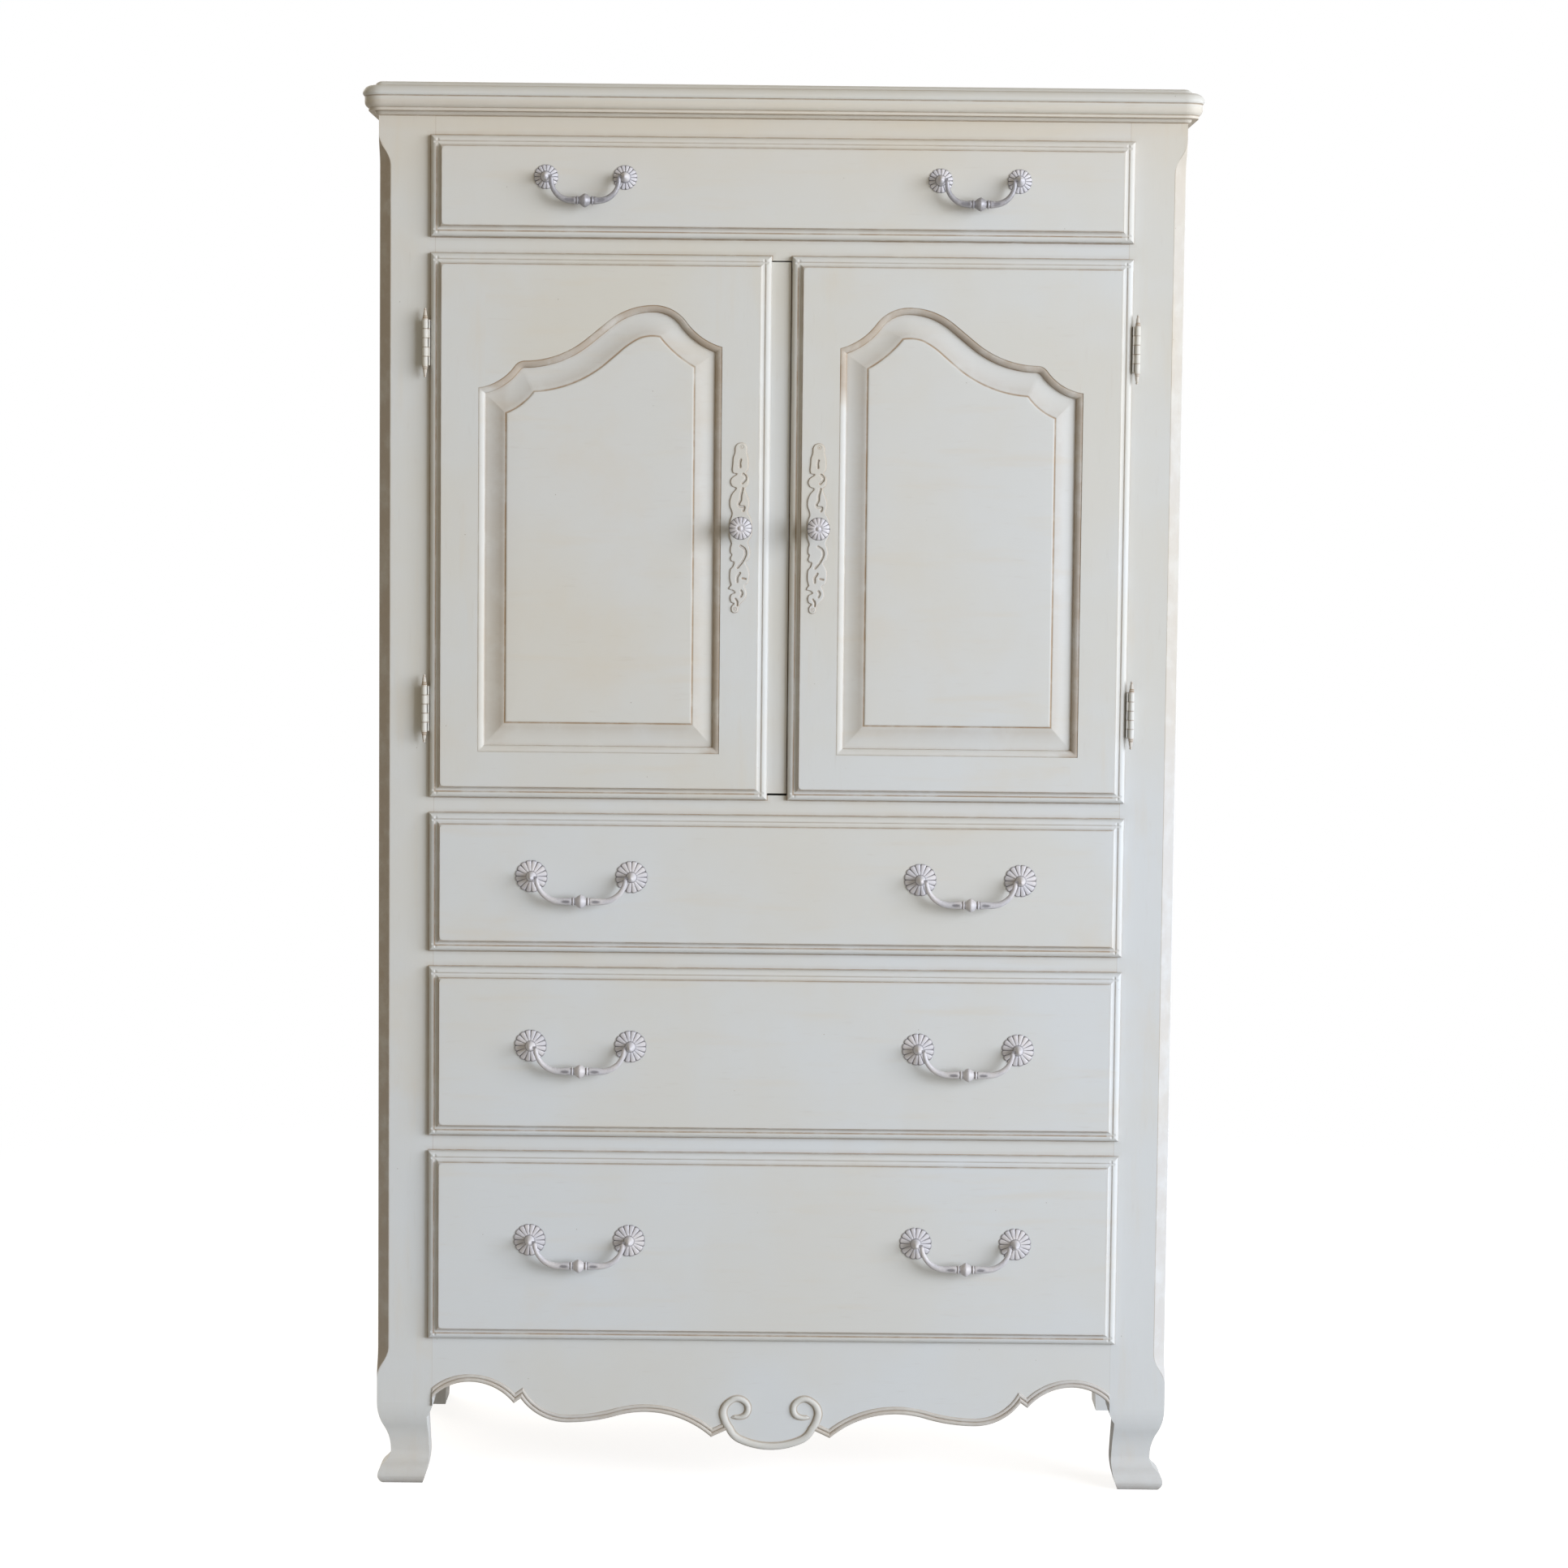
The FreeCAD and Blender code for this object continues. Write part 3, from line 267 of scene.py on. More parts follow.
class Finish:
    """A material under construction, or a world, which has the same kind of nodes."""

    def __init__(self, name, kind="materials"):
        self.result = getattr(bpy.data, kind).new(name)
        self.result.use_nodes = True
        self.tree = self.result.node_tree
        self.tree.nodes.clear()
        self.coordinates = self.output("TexCoord", "Object")
        place = self.node("SeparateXYZ", inputs={0: self.coordinates})
        self.x, self.y, self.z = [Value(self, place.outputs[i]) / MM for i in range(3)]
        self.y = self.y - face_y

    def node(self, kind, settings=None, inputs=None):
        """One node: its settings first, then each socket's value or link."""
        node = self.tree.nodes.new("ShaderNode" + kind)
        for key, value in (settings or {}).items():
            setattr(node, key, value)
        for key, value in (inputs or {}).items():
            if isinstance(value, Value):
                self.tree.links.new(value.socket, node.inputs[key])
            else:
                node.inputs[key].default_value = value
        return node

    def output(self, kind, socket, settings=None, inputs=None):
        """What comes out of one socket of a new node."""
        return Value(self, self.node(kind, settings, inputs).outputs[socket])

    def maths(self, operation, *values):
        """A Math node."""
        return self.output("Math", 0, {"operation": operation}, dict(enumerate(values)))

    def least(self, *values):
        """The smallest of several numbers."""
        return reduce(lambda one, other: self.maths("MINIMUM", one, other), values)

    def most(self, *values):
        """The largest of several numbers."""
        return reduce(lambda one, other: self.maths("MAXIMUM", one, other), values)

    def rise(self, value, low, high):
        """0 below low, 1 above high, and a smooth step between."""
        return self.output("MapRange", 0, {"interpolation_type": "SMOOTHSTEP"},
                           {"Value": value, "From Min": low, "From Max": high})

    def fall(self, value, low, high):
        """1 below low, 0 above high, and a smooth step between."""
        return 1 - self.rise(value, low, high)

    def line(self, value, centre, reach):
        """1 where a number is at the centre, fading to 0 at the reach on both sides."""
        return self.fall(abs(value - centre), reach * 0.25, reach)

    def mix(self, share, first, second):
        """A colour between two."""
        return self.output("Mix", 2, {"data_type": "RGBA"}, {0: share, 6: first, 7: second})

    def moved(self, seed, stretch=(1, 1, 1)):
        """Object coordinates, stretched, and shifted by a seed so that no two boards are alike."""
        shift = (seed * 1.37, seed * 0.71, seed * 2.13)
        return self.output("Mapping", 0, None, {0: self.coordinates, 1: shift, 3: stretch})

    def noise(self, seed, scale, detail=3, rough=0.5, stretch=(1, 1, 1)):
        """A noise between 0 and 1 at a scale per metre."""
        inputs = {"Vector": self.moved(seed, stretch), "Scale": scale, "Detail": detail, "Roughness": rough}
        return self.output("TexNoise", 0, None, inputs)

    def surface(self, shade, roughness, height=None, bump=0.0005, **constants):
        """The shader itself. Constants go straight on to its sockets."""
        inputs = {"Base Color": shade, "Roughness": roughness}
        inputs.update({key.replace("_", " "): value for key, value in constants.items()})
        if height is not None:
            relief = {"Strength": 1, "Distance": bump, "Height": height}
            inputs["Normal"] = self.output("Bump", 0, None, relief)
        shader = self.output("BsdfPrincipled", 0, None, inputs)
        self.node("OutputMaterial", inputs={0: shader})
        return self.result


# Paint: antique white, rubbed with a brown glaze that stays in every recess, and the same brown
# laid as painted shade on sides that face away from the lamp
cool_white = colour(206, 210, 213)
cream_white = colour(205, 202, 193)
beige_rub_and_warm_light = colour(206, 194, 174)
glaze_and_shade_brown = colour(146, 118, 84)
speck_brown = colour(126, 108, 90)


def specks(finish, seed, spacing, radius, share):
    """Small round flecks: the distance to a cell's point, for the share of cells whose own
    random number is high enough."""
    cells = finish.node("TexVoronoi", None, {"Vector": finish.moved(seed), "Scale": 1000 / spacing})
    chance = finish.output("SeparateColor", 0, None, {0: Value(finish, cells.outputs["Color"])})
    near = Value(finish, cells.outputs["Distance"]) * spacing
    return finish.fall(near, radius * 0.4, radius) * finish.rise(chance, 1 - share, 1.02 - share)


def paint(name, seed, lines=None, along="x", warm=0.0):
    """Brushed antique-white paint, creamier and beiger high up, where warm light is painted into its
    colour, and cooler on the right. lines takes the finish and gives how much glaze, and on some
    sides painted shade, lies where."""
    finish = Finish(name)
    brushed = (0.12, 1, 1) if along == "x" else (1, 1, 0.12)
    cloud = finish.noise(seed, 3.1, 4, 0.55)
    rub = finish.noise(seed + 5, 5.5, 5, 0.6)
    streak = finish.noise(seed + 9, 260, 2, 0.6, brushed)
    broad_streak = finish.noise(seed + 11, 60, 3, 0.5, brushed)
    # Random cloudy cream, plus painted warm light that grows towards the top
    cream_share_and_warm_light = finish.rise(cloud, 0.36, 0.64) * 0.5 + finish.rise(finish.z, 250, 1500) * 0.5
    cream_share_and_warm_light = cream_share_and_warm_light - finish.rise(finish.x, -60, 420) * 0.24
    shade = finish.mix(cream_share_and_warm_light, cool_white, cream_white)
    # Painted warm light: a beige band high up, below the top board, mixed in with the random rubbing
    painted_warm_light_high = finish.rise(finish.z, 1440, 1570) * 0.3 + finish.rise(finish.z, 1550, 1562) * 0.16
    below_top_board = finish.fall(finish.z, 1584, 1594)
    rubbed = finish.rise(rub, 0.52, 0.82) * 0.36 + finish.rise(broad_streak, 0.52, 0.85) * 0.24
    shade = finish.mix(finish.least(rubbed + painted_warm_light_high * below_top_board + warm, 0.8), shade, beige_rub_and_warm_light)
    shade = finish.mix(finish.rise(streak, 0.6, 0.9) * 0.09, shade, glaze_and_shade_brown)
    height = streak * 0.25 + broad_streak * 0.4
    if lines is not None:
        uneven = finish.rise(finish.noise(seed + 3, 34, 4, 0.65), 0.25, 0.6) * 0.55 + 0.45
        glaze = lines(finish) * uneven
        # The brown here is glaze in the recesses, plus painted shade where lines adds it for sides away from
        # the lamp
        shade = finish.mix(finish.least(glaze, 0.92), shade, glaze_and_shade_brown)
        height = height - glaze * 0.4
    fleck = specks(finish, seed + 2, 21, 0.75, 0.34)
    shade = finish.mix(fleck * 0.6, shade, speck_brown)
    roughness = 0.5 + rub * 0.16 + streak * 0.06
    return finish.surface(shade, roughness, height - fleck * 0.3, 0.00022, Specular_IOR_Level=0.25)


def inside_distance(finish, outline):
    """How far a point lies inside a rectangle: the least of its distances to the four sides."""
    left, right, low, high = outline
    return finish.least(finish.x - left, right - finish.x, finish.z - low, high - finish.z)


def front_lines(outline):
    """Glaze on a lipped front: in the joint at its edge, in the quirk, and at the field's edge,
    with a softer rub in the cove. Its right and top edges get less of it: painted light where the lamp
    falls."""
    right, high = outline[1::2]

    def lines(finish):
        inside = inside_distance(finish, outline)
        edge = finish.most(finish.line(inside, 0, 1.4) * 0.55, finish.line(inside, quirk_in, 1.4) * 0.72,
                           finish.line(inside, field_in - 1.1, 3.4) * 0.24)
        # Painted light: less glaze along the top edge, which the lamp reaches
        edge = edge * (1 - finish.rise(finish.z, high - 14, high - 12) * 0.6)
        field = finish.line(inside, field_in, 0.9) * 0.62
        ahead_of_frame = finish.fall(finish.y, -0.6, -0.2)
        # Painted light: less glaze along the right edge, which faces the lamp
        painted_light_on_right = 1 - finish.rise(finish.x, right - 15, right - 13) * 0.6
        return finish.most(edge, field) * ahead_of_frame * painted_light_on_right
    return lines


def outside_fronts(finish):
    """How far a point of the face frame lies outside the nearest front."""
    return finish.least(*[inside_distance(finish, outline) * -1 for outline in fronts.values()])


def frame_lines(finish):
    """Glaze on the face frame: a dark joint where the lips meet it, spread a little as painted shadow
    and kept lighter on the far right, where the lamp casts none; in the joints with the posts, under
    the moulding, along the chamfers' edges, thinly on the chamfers with painted shade added on the
    left one, and on the feet."""
    outside = outside_fronts(finish)
    # A dark joint round each lip, spread as painted shadow; lighter on the far right, where no shadow falls
    lip_joint_and_shadow = finish.line(outside, 0.2, 1.3) * 0.6 + finish.line(outside, 1, 5) * 0.1
    lip_joint_and_shadow = lip_joint_and_shadow * (1 - finish.rise(finish.x, post_x - 3, post_x + 4) * 0.6)
    across = abs(finish.x)
    joint = finish.line(across, post_x, 0.5) * 0.3
    taper = finish.rise(finish.z, *chamfer_head) + finish.fall(finish.z, *chamfer_foot)
    from_edge = across - taper * chamfer_w - (chest_half_w - chamfer_w)
    edge = finish.line(from_edge, 0, 1.2) * 0.4
    edge = edge * finish.rise(finish.z, chamfer_foot[0], 140) * finish.fall(finish.z, 1530, 1551)
    chamfer = finish.rise(from_edge, -0.2, 0.8)
    chamfer = chamfer * finish.fall(across, chest_half_w - 0.7, chest_half_w - 0.2)
    under = finish.line(finish.z, moulding_foot_z, 1.2) * 0.6
    foot = finish.fall(finish.z, 0, 14) * 0.2 + finish.fall(finish.z, 20, 70) * 0.12
    front = finish.fall(finish.y, 0.3, 0.9)
    # Painted shade: the glaze on the chamfers is heavier on the left one, which faces away from the lamp
    wash = 0.26 + finish.fall(finish.x, -10, 0) * 0.24
    return finish.most((lip_joint_and_shadow + joint + edge + under) * front, foot, chamfer * wash)


def moulding_lines(finish):
    """Glaze on the top and its moulding: in each step of the section, and thinly on the left below the
    top board as painted shade."""
    levels = [(chest_h - 5.2, 1.0, 0.55), (frame_top_z, 1.2, 0.6), (frame_top_z - 12.8, 1.0, 0.4),
              (frame_top_z - 16.1, 1.0, 0.4), (moulding_foot_z, 1.2, 0.4)]
    lines = [finish.line(finish.z, level, reach) * strength for level, reach, strength in levels]
    # Painted shade: a thin brown on the left of the moulding, which faces away from the lamp
    wash = finish.fall(finish.x, -450, 0) * finish.fall(finish.z, 1582, 1590) * 0.16
    return finish.most(*lines, finish.line(finish.z, chest_h, 0.8) * 0.2, wash)


def carved_lines(finish):
    """Glaze worked out with the carved surface itself, with painted shade added on some shaded sides."""
    return finish.output("Attribute", "Fac", {"attribute_name": "glaze"})


def barrel_lines(finish):
    """Glaze in the joints between a hinge's knuckles."""
    local = abs(abs(finish.z - door_middle_z) - hinge_out)
    knuckles = ((0.2, 0.7), (0.6, 0.7), (1, 0.9))
    joints = [finish.line(local, barrel_half * share, reach) for share, reach in knuckles]
    return finish.most(*joints) * 0.7 + finish.rise(local, barrel_half - 2, barrel_half + 10) * 0.2


# Wood that isn't painted
def bare_wood(name, seed, pale, dark, along):
    """Sawn wood: growth rings stretched along the board, with fine pores."""
    finish = Finish(name)
    stretch = {"x": (0.05, 1, 1), "z": (1, 1, 0.05), "x and y": (0.05, 0.05, 1)}[along]
    rings = finish.noise(seed, 22, 4, 0.55, stretch)
    grain = finish.rise(abs(finish.maths("FRACT", rings * 8) - 0.5), 0.04, 0.46)
    pores = finish.noise(seed + 4, 420, 2, 0.6, stretch)
    shade = finish.mix(grain * 0.5 + finish.rise(pores, 0.55, 0.8) * 0.35, colour(*pale), colour(*dark))
    shade = finish.mix(finish.noise(seed + 6, 4, 3) * 0.35, shade, colour(*dark))
    relief = pores * 0.6 + grain * 0.2
    return finish.surface(shade, 0.5 + pores * 0.2, relief, 0.0002, Specular_IOR_Level=0.35)


# Metal
def washed_metal(name, seed):
    """Pewter under a rubbed off-white wash: the wash is gone in the hollows and on worn places."""
    finish = Finish(name)
    hollow = carved_lines(finish)
    mottle = finish.noise(seed, 420, 4, 0.6)
    drift = finish.noise(seed + 3, 60, 3, 0.5)
    bare = finish.rise(hollow + mottle * 0.35, 0.22, 0.95) + finish.rise(mottle, 0.62, 0.8) * 0.25
    bare = finish.least(bare, 1)
    wash = finish.mix(finish.rise(drift, 0.35, 0.65), colour(207, 204, 206), colour(198, 197, 203))
    shade = finish.mix(bare * 0.85, wash, colour(102, 100, 104))
    return finish.surface(shade, 0.5 - bare * 0.08, mottle * 0.5 - hollow * 0.2, 0.00018,
                          Metallic=bare * 0.35, Specular_IOR_Level=0.45)


def plated_steel():
    """Zinc-plated steel with a faint spangle."""
    finish = Finish("plated_steel")
    spangle = finish.noise(3, 500, 3, 0.6)
    shade = finish.mix(spangle, colour(158, 160, 164), colour(128, 131, 136))
    return finish.surface(shade, 0.48 + spangle * 0.2, spangle, 0.00005, Metallic=0.9)


def dress(nodes, material):
    """Gives some CAD nodes their finish."""
    for node in nodes:
        slots = frame["nodes"][node].data.materials
        slots.clear()
        slots.append(material)


carved_paint = paint("glazed_and_shaded_carving", 31, carved_lines, warm=0.05)
pewter = washed_metal("washed_pewter", 4)

seeds = {"top_drawer": 1, "left_door": 14, "right_door": 23, "second_drawer": 6, "third_drawer": 8.5,
         "bottom_drawer": 11.5}
for name in drawer_names:
    dress([name + "_front"], paint(name + "_paint", seeds[name], front_lines(fronts[name])))
for side in ("left", "right"):
    door = side + "_door"
    glazed = front_lines(fronts[door])
    upright = paint(door + "_stile_paint", seeds[door], glazed, "z")
    dress([door + "_hinge_stile", door + "_meeting_stile"], upright)
    dress([door + "_top_rail", door + "_bottom_rail"], paint(door + "_rail_paint", seeds[door], glazed))
    hinge_paint = paint(door + "_hinge_paint", seeds[door] + 3, barrel_lines, "z", 0.12)
    dress([door + "_leaves", side + "_frame_leaves"], hinge_paint)
    dress([side + "_front_post"], paint(side + "_post_paint", seeds[door] + 7, frame_lines, "z"))
    side_paint = paint(side + "_side_paint", seeds[door] + 40, None, "z", 0.1)
    dress([side + "_rear_post", side + "_side_panel"], side_paint)
rails = ("top_rail", "upper_door_rail", "lower_door_rail", "upper_drawer_rail", "lower_drawer_rail")
dress(rails, paint("rail_paint", 17, frame_lines))
dress(["left_door_centre_strip"], paint("strip_paint", 19, None, "z"))
dress(["top_board", "cornice_moulding"], paint("moulding_paint", 27, moulding_lines, warm=-0.08))
dress(["back_panel"], bare_wood("back_wood", 5, (190, 163, 128), (152, 122, 90), "z"))
dress(["dust_panels", "case_floor", "cabinet_shelf", "drawer_guides"],
      bare_wood("case_wood", 3, (186, 158, 122), (146, 116, 84), "x"))
dress([name + "_box" for name in drawer_names],
      bare_wood("drawer_box_wood", 12, (205, 180, 142), (172, 142, 102), "x and y"))
dress(["shelf_pins", "door_catches"], plated_steel())


# Doors: how high the opening's arch rises, and how far its edge lies outside the panel's
opening_rise = 94.4
tongue = 2.0
opening_shares = [(0, 0, 0.206), (0.1485, 0.2617, -0.226), (0.1887, 0.3242, 0.168), (0.4356, 0.5773, 0),
                  (0.5299, 0.803, -0.174), (0.7187, 1, -0.238), (0.853, 0.8019, 0.17), (1, 0.5095, 0)]
field_shares = [(0, 0, 0.14), (0.1446, 0.2695, 0), (0.1507, 0.2775, 0.156), (0.5192, 0.6229, 0),
                (0.5991, 0.7882, -0.075), (0.707, 0.9683, -0.145), (0.815, 0.9887, 0.096), (1, 0.6082, 0)]


def arched_loop(shares, side_in=0.0, bottom_in=0.0, arch_down=0.0, rise=opening_rise):
    """The corners and bulges of a line round the left door's panel, in from its opening, run with
    the wood inside on the left: along the arch backwards, then down the left side."""
    low_x, high_x, low_z, high_z = rectangle("left_door_panel")
    left, right, low = low_x - tongue + side_in, high_x + tongue - side_in, low_z - tongue + bottom_in
    shoulder = high_z + tongue - opening_rise - arch_down
    arch = [left + (right - left) * across + 1j * (shoulder + rise * up) for across, up, bulge in shares]
    points = arch[::-1] + [left + 1j * low, right + 1j * low]
    bulges = [-bulge for across, up, bulge in shares[-2::-1]] + [0, 0, 0]
    return points, bulges


def on_side(side, plane):
    """The left door's shape, or its mirror image for the right door."""
    return plane if side == "left" else -plane.conj()


def bump_at(values, centre, reach):
    """1 at the centre, falling to 0 at the reach with a squared cosine."""
    return np.cos(np.clip(np.abs(np.asarray(values, float) - centre) / reach, 0, 1) * math.pi / 2) ** 2


def raised_panel(side):
    """The raised panel: its bevel is ruled from the sight line to the groove's own outline, with
    the depth sight_y - 4.4 * share ** 1.6, and the field and the back meet at its middle."""
    back_y = -0.5
    outer = outline_grid(*arched_loop(opening_shares), [2.0, 2.0, 8.0], True, crisp(18))
    in_from_line = np.array([-1.8, -1.2, -0.7, -0.3, 0.2, 0.7, 1.2, 1.7, 2.4, 3.4])
    groove_y = [-10.9, -10.97, -11.0, -11.02, -11.15, -11.4, -11.62, -11.78, -11.87, -11.9]
    groove_line = arched_loop(field_shares, side_in=31.3, bottom_in=34.0, arch_down=28.3, rise=88.3)
    groove = outline_grid(*groove_line, in_from_line, True, crisp(18))
    share = np.array([0.02, 0.12, 0.25, 0.4, 0.55, 0.7, 0.85])
    bevel = outer[:, -1:] + (groove[:, :1] - outer[:, -1:]) * share
    middle = groove[:, -1].mean() - 30j
    inner = [middle + (groove[:, -1:] - middle) * part for part in (0.8, 0.5, 0.2, 0)]
    back = [middle + (outer[:, :1] - middle) * part for part in (0, 0.35, 0.75)]
    grid = np.concatenate(back + [outer, bevel, groove] + inner, 1)
    plane = on_side(side, grid)
    falling = sight_y - 4.4 * share ** 1.6
    depths = np.concatenate([[back_y] * 4, [sight_y] * 2, falling, groove_y, [-11.9] * 4])
    tones = np.concatenate([[0.0] * 5, [0.3], [0.14, 0.04, 0.03, 0.05, 0.08, 0.13, 0.2],
                            0.75 * bump_at(in_from_line, 0, 1.7) + 0.16 * (in_from_line < 1), [0.0] * 4])
    # Painted shade: more glaze on the left-hand bevel, which faces away from the lamp, much more on the left
    # door
    left_x = rectangle(side + "_door_panel")[0]
    rubbed = np.clip((left_x + 34 - plane.real) / 8, 0, 1) * (tones > 0)
    tones = tones + rubbed * (0.15 if side == "left" else 0.02)
    return surface(solid_points(plane, depths), tones, wrap_rows=True)


def sticking(side):
    """The moulding round a panel's opening: a quarter ellipse from the quirk down to the
    sight line, closed behind inside the wood."""
    turn = np.linspace(0, math.pi / 2, 12)
    section = [(0.12, -11.88)] + list(zip(0.75 + 7.15 * np.sin(turn), sight_y - 5.7 * np.cos(turn)))
    section += [(7.9, -5.6), (4, -7.4), (0.12, -10.4)]
    inside, depth = np.array(section).T
    plane = outline_grid(*arched_loop(opening_shares), inside, True, crisp(18))
    right_x, high_z = rectangle(side + "_door_panel")[1::2]
    # Where the sticking runs round the arch and faces down, painted shade is laid on it
    arch = np.clip((plane.imag - (high_z + tongue - opening_rise) + 6) / 8, 0, 1)
    plane = on_side(side, plane)
    shaded = np.clip((plane.real - right_x + 12) / 4, 0, 1)
    glaze = 0.05 + 0.5 * bump_at(inside, 0.3, 0.9) + 0.5 * bump_at(inside, 7.9, 0.9)
    # Painted shade: more glaze on the arch, where the sticking faces down, and on the right-hand side, which
    # faces away from the lamp
    glaze = glaze + np.maximum(0.5 * arch, 0.45 * shaded)
    return surface(solid_points(plane, depth), glaze, wrap_rows=True, wrap_columns=True)


for side in ("left", "right"):
    door = side + "_door"
    make(door + "_raised_panel", door, carved_paint, [raised_panel(side)], [door + "_panel"])
    make(door + "_sticking", door, carved_paint, [sticking(side)])


# The shaped apron
apron_shares = [(0, 1, 0.105), (0.094, 0.941, 0.189), (0.131, 0.831, 0), (0.1755, 0.892, -0.182),
                (0.37, 0.677, -0.0765), (0.464, 0.72, 0.067), (0.602, 0.775, 0.242), (0.7385, 0.569, 0),
                (0.759, 0.6115, -0.227), (0.89, 0.4265, -0.211), (1, 0.569, 0)]
apron_top_z = rectangle("front_apron")[3]
apron_drop = 133.6


def carried_on(start, end, bulge, extra):
    """An arc made longer at its end by a length."""
    centre = arc_centre(start, end, bulge)
    turn = 4 * math.atan(bulge)
    more = math.copysign(extra / abs(end - centre), bulge)
    new_end = centre + (end - centre) * complex(math.cos(more), math.sin(more))
    return new_end, math.tan((turn + more) / 4)


def lower_edge(shares):
    """The corners and bulges of some of the apron's lower edge, on the right."""
    points = [post_x * across + 1j * (apron_top_z - apron_drop * down) for across, down, bulge in shares]
    return points, [bulge for across, down, bulge in shares]


def apron_board():
    """The shaped board: at each place along its lower edge it rises straight to its top."""
    points, bulges = lower_edge(apron_shares)
    path = [-point.conjugate() for point in points[:0:-1]] + points
    edge = outline_grid(path, bulges[-2::-1] + bulges[:-1], [0], False, crisp(14))
    up = np.array([0, 0.03, 0.3, 0.65, 1, 1, 0])
    grid = edge.real + 1j * (edge.imag + (apron_top_z - edge.imag) * up)
    whole = ends_closed(solid_points(grid, [0, 0, 0, 0, 0, 20, 20]))
    return surface(whole, [0.25, 0, 0, 0, 0, 0, 0], wrap_columns=True)


def apron_bead(way_x):
    """The two rolls along the lower edge, from under a scroll to the post: a closed section
    (distance in from the edge, depth) carried along the edge."""
    points, bulges = lower_edge(apron_shares[2:])
    points[0] -= 3 * way(points[0], points[1], 0, points[0])
    points[-1], bulges[-2] = carried_on(points[-2], points[-1], bulges[-2], extra=12)
    section = [(0.1, 1), (0.1, -0.6), (0.5, -1.5), (1.3, -2.1), (2.3, -2.3), (3.3, -2.1), (4.1, -1.5),
               (4.5, -0.8), (4.8, -0.35), (5.2, -0.8), (5.9, -1.35), (6.8, -1.5), (7.7, -1.3),
               (8.4, -0.8), (8.9, -0.1), (9, 1)]
    inside, depth = np.array(section).T
    plane = outline_grid(points, bulges[:-1], inside, False, crisp(14))
    plane = np.minimum(plane.real, post_x) + 1j * plane.imag
    glaze = 0.25 + 0.1 * (inside < 4) + 0.4 * bump_at(inside, 4.8, 0.8) + 0.35 * bump_at(inside, 9.0, 0.8)
    whole = ends_closed(solid_points(plane if way_x > 0 else -plane.conj(), depth))
    return surface(whole, glaze, wrap_columns=True)


def scroll(way_x):
    """One scroll: a round band whose outside follows the scroll's curve from the apron's foot,
    and which narrows towards its curled end. Across, it is half an ellipse."""
    shares = [(0, 0, 0.105), (0.6206, 0.1244, 0.189), (0.8668, 0.3559, 0.12), (1, 0.6457, 0.29),
              (0.8145, 0.948, 0.346), (0.4924, 0.948, 0.5), (0.4688, 0.5953, 0.25), (0.769, 0.5953, 0)]
    wide, tall, steps = 59.3, 63.5, 21
    foot = apron_top_z - apron_drop
    points = [wide * across + 1j * (foot + tall * up) for across, up, bulge in shares]
    bulges = [bulge for across, up, bulge in shares]
    edge = outline_grid(points, bulges, [0, 1], False, np.linspace(0, 1, steps + 1))
    across = edge[:, 1:] - edge[:, :1]
    reach = np.concatenate([[0], np.cumsum(np.abs(np.diff(edge[:, 0])))])
    at_corners = [8.3, 8.4, 8.5, 8.5, 6.6, 6.8, 6.4, 3.5]
    width = np.interp(np.arange(len(reach)) / steps, np.arange(8), at_corners)
    width = (width * np.clip((reach[-1] - reach) / 3, 0.01, 1) ** 0.5)[:, None]
    share = (1 - np.cos(np.linspace(0, math.pi, 13))) / 2
    flange = np.clip((reach - 64) / 12, 0, 1)[:, None]
    front = edge[:, :1] + across * share * width
    height = -3.1 * (1 - (2 * share - 1) ** 2) ** 0.42 * np.clip(width / 6, 0.35, 1)
    outer = edge[:, :1] - across * flange
    inner = edge[:, :1] + across * (width + 1.0)
    grid = np.concatenate([outer, front, inner, inner, outer], 1)
    flat = np.zeros_like(width)
    depths = np.concatenate([flat - 0.06, height - 0.06, flat - 0.06, flat + 2, flat + 2], 1)
    edges = bump_at(share, 0, 0.12) + bump_at(share, 1, 0.12)
    tones = np.concatenate([[0.4], 0.42 * edges, [0.4, 0, 0]])
    whole = ends_closed(solid_points(grid if way_x > 0 else -grid.conj(), depths))
    return surface(whole, tones, wrap_columns=True)


apron_paint = paint("apron_paint", 33, carved_lines, warm=-0.15)
make("carved_apron", "case", apron_paint, [apron_board()], ["front_apron"])
make("apron_beads", "case", carved_paint, [apron_bead(-1), apron_bead(1)])
make("apron_scrolls", "case", carved_paint, [scroll(-1), scroll(1)])


# Turned and cast metal
def turned(profile, centre, glaze=lambda height: 0, lobes=None, steps=96, axis=1, sense=-1):
    """A surface of revolution about a line along x, y or z (axis 0, 1 or 2), by default out of
    the front: each (radius, height along the line) goes round, the glaze comes from the height,
    and lobes changes radius, height and glaze for each angle."""
    angle = np.linspace(0, 2 * math.pi, steps, endpoint=False)[None, :]
    radius, height = [np.array(values, float)[:, None] + 0 * angle for values in zip(*profile)]
    tone = glaze(height)
    if lobes is not None:
        radius, height, tone = lobes(radius, height, tone, angle)
    parts = [radius * np.cos(angle), radius * np.sin(angle)]
    parts.insert(axis, height * sense)
    return surface(np.stack(parts, -1) + centre, tone, wrap_columns=True)


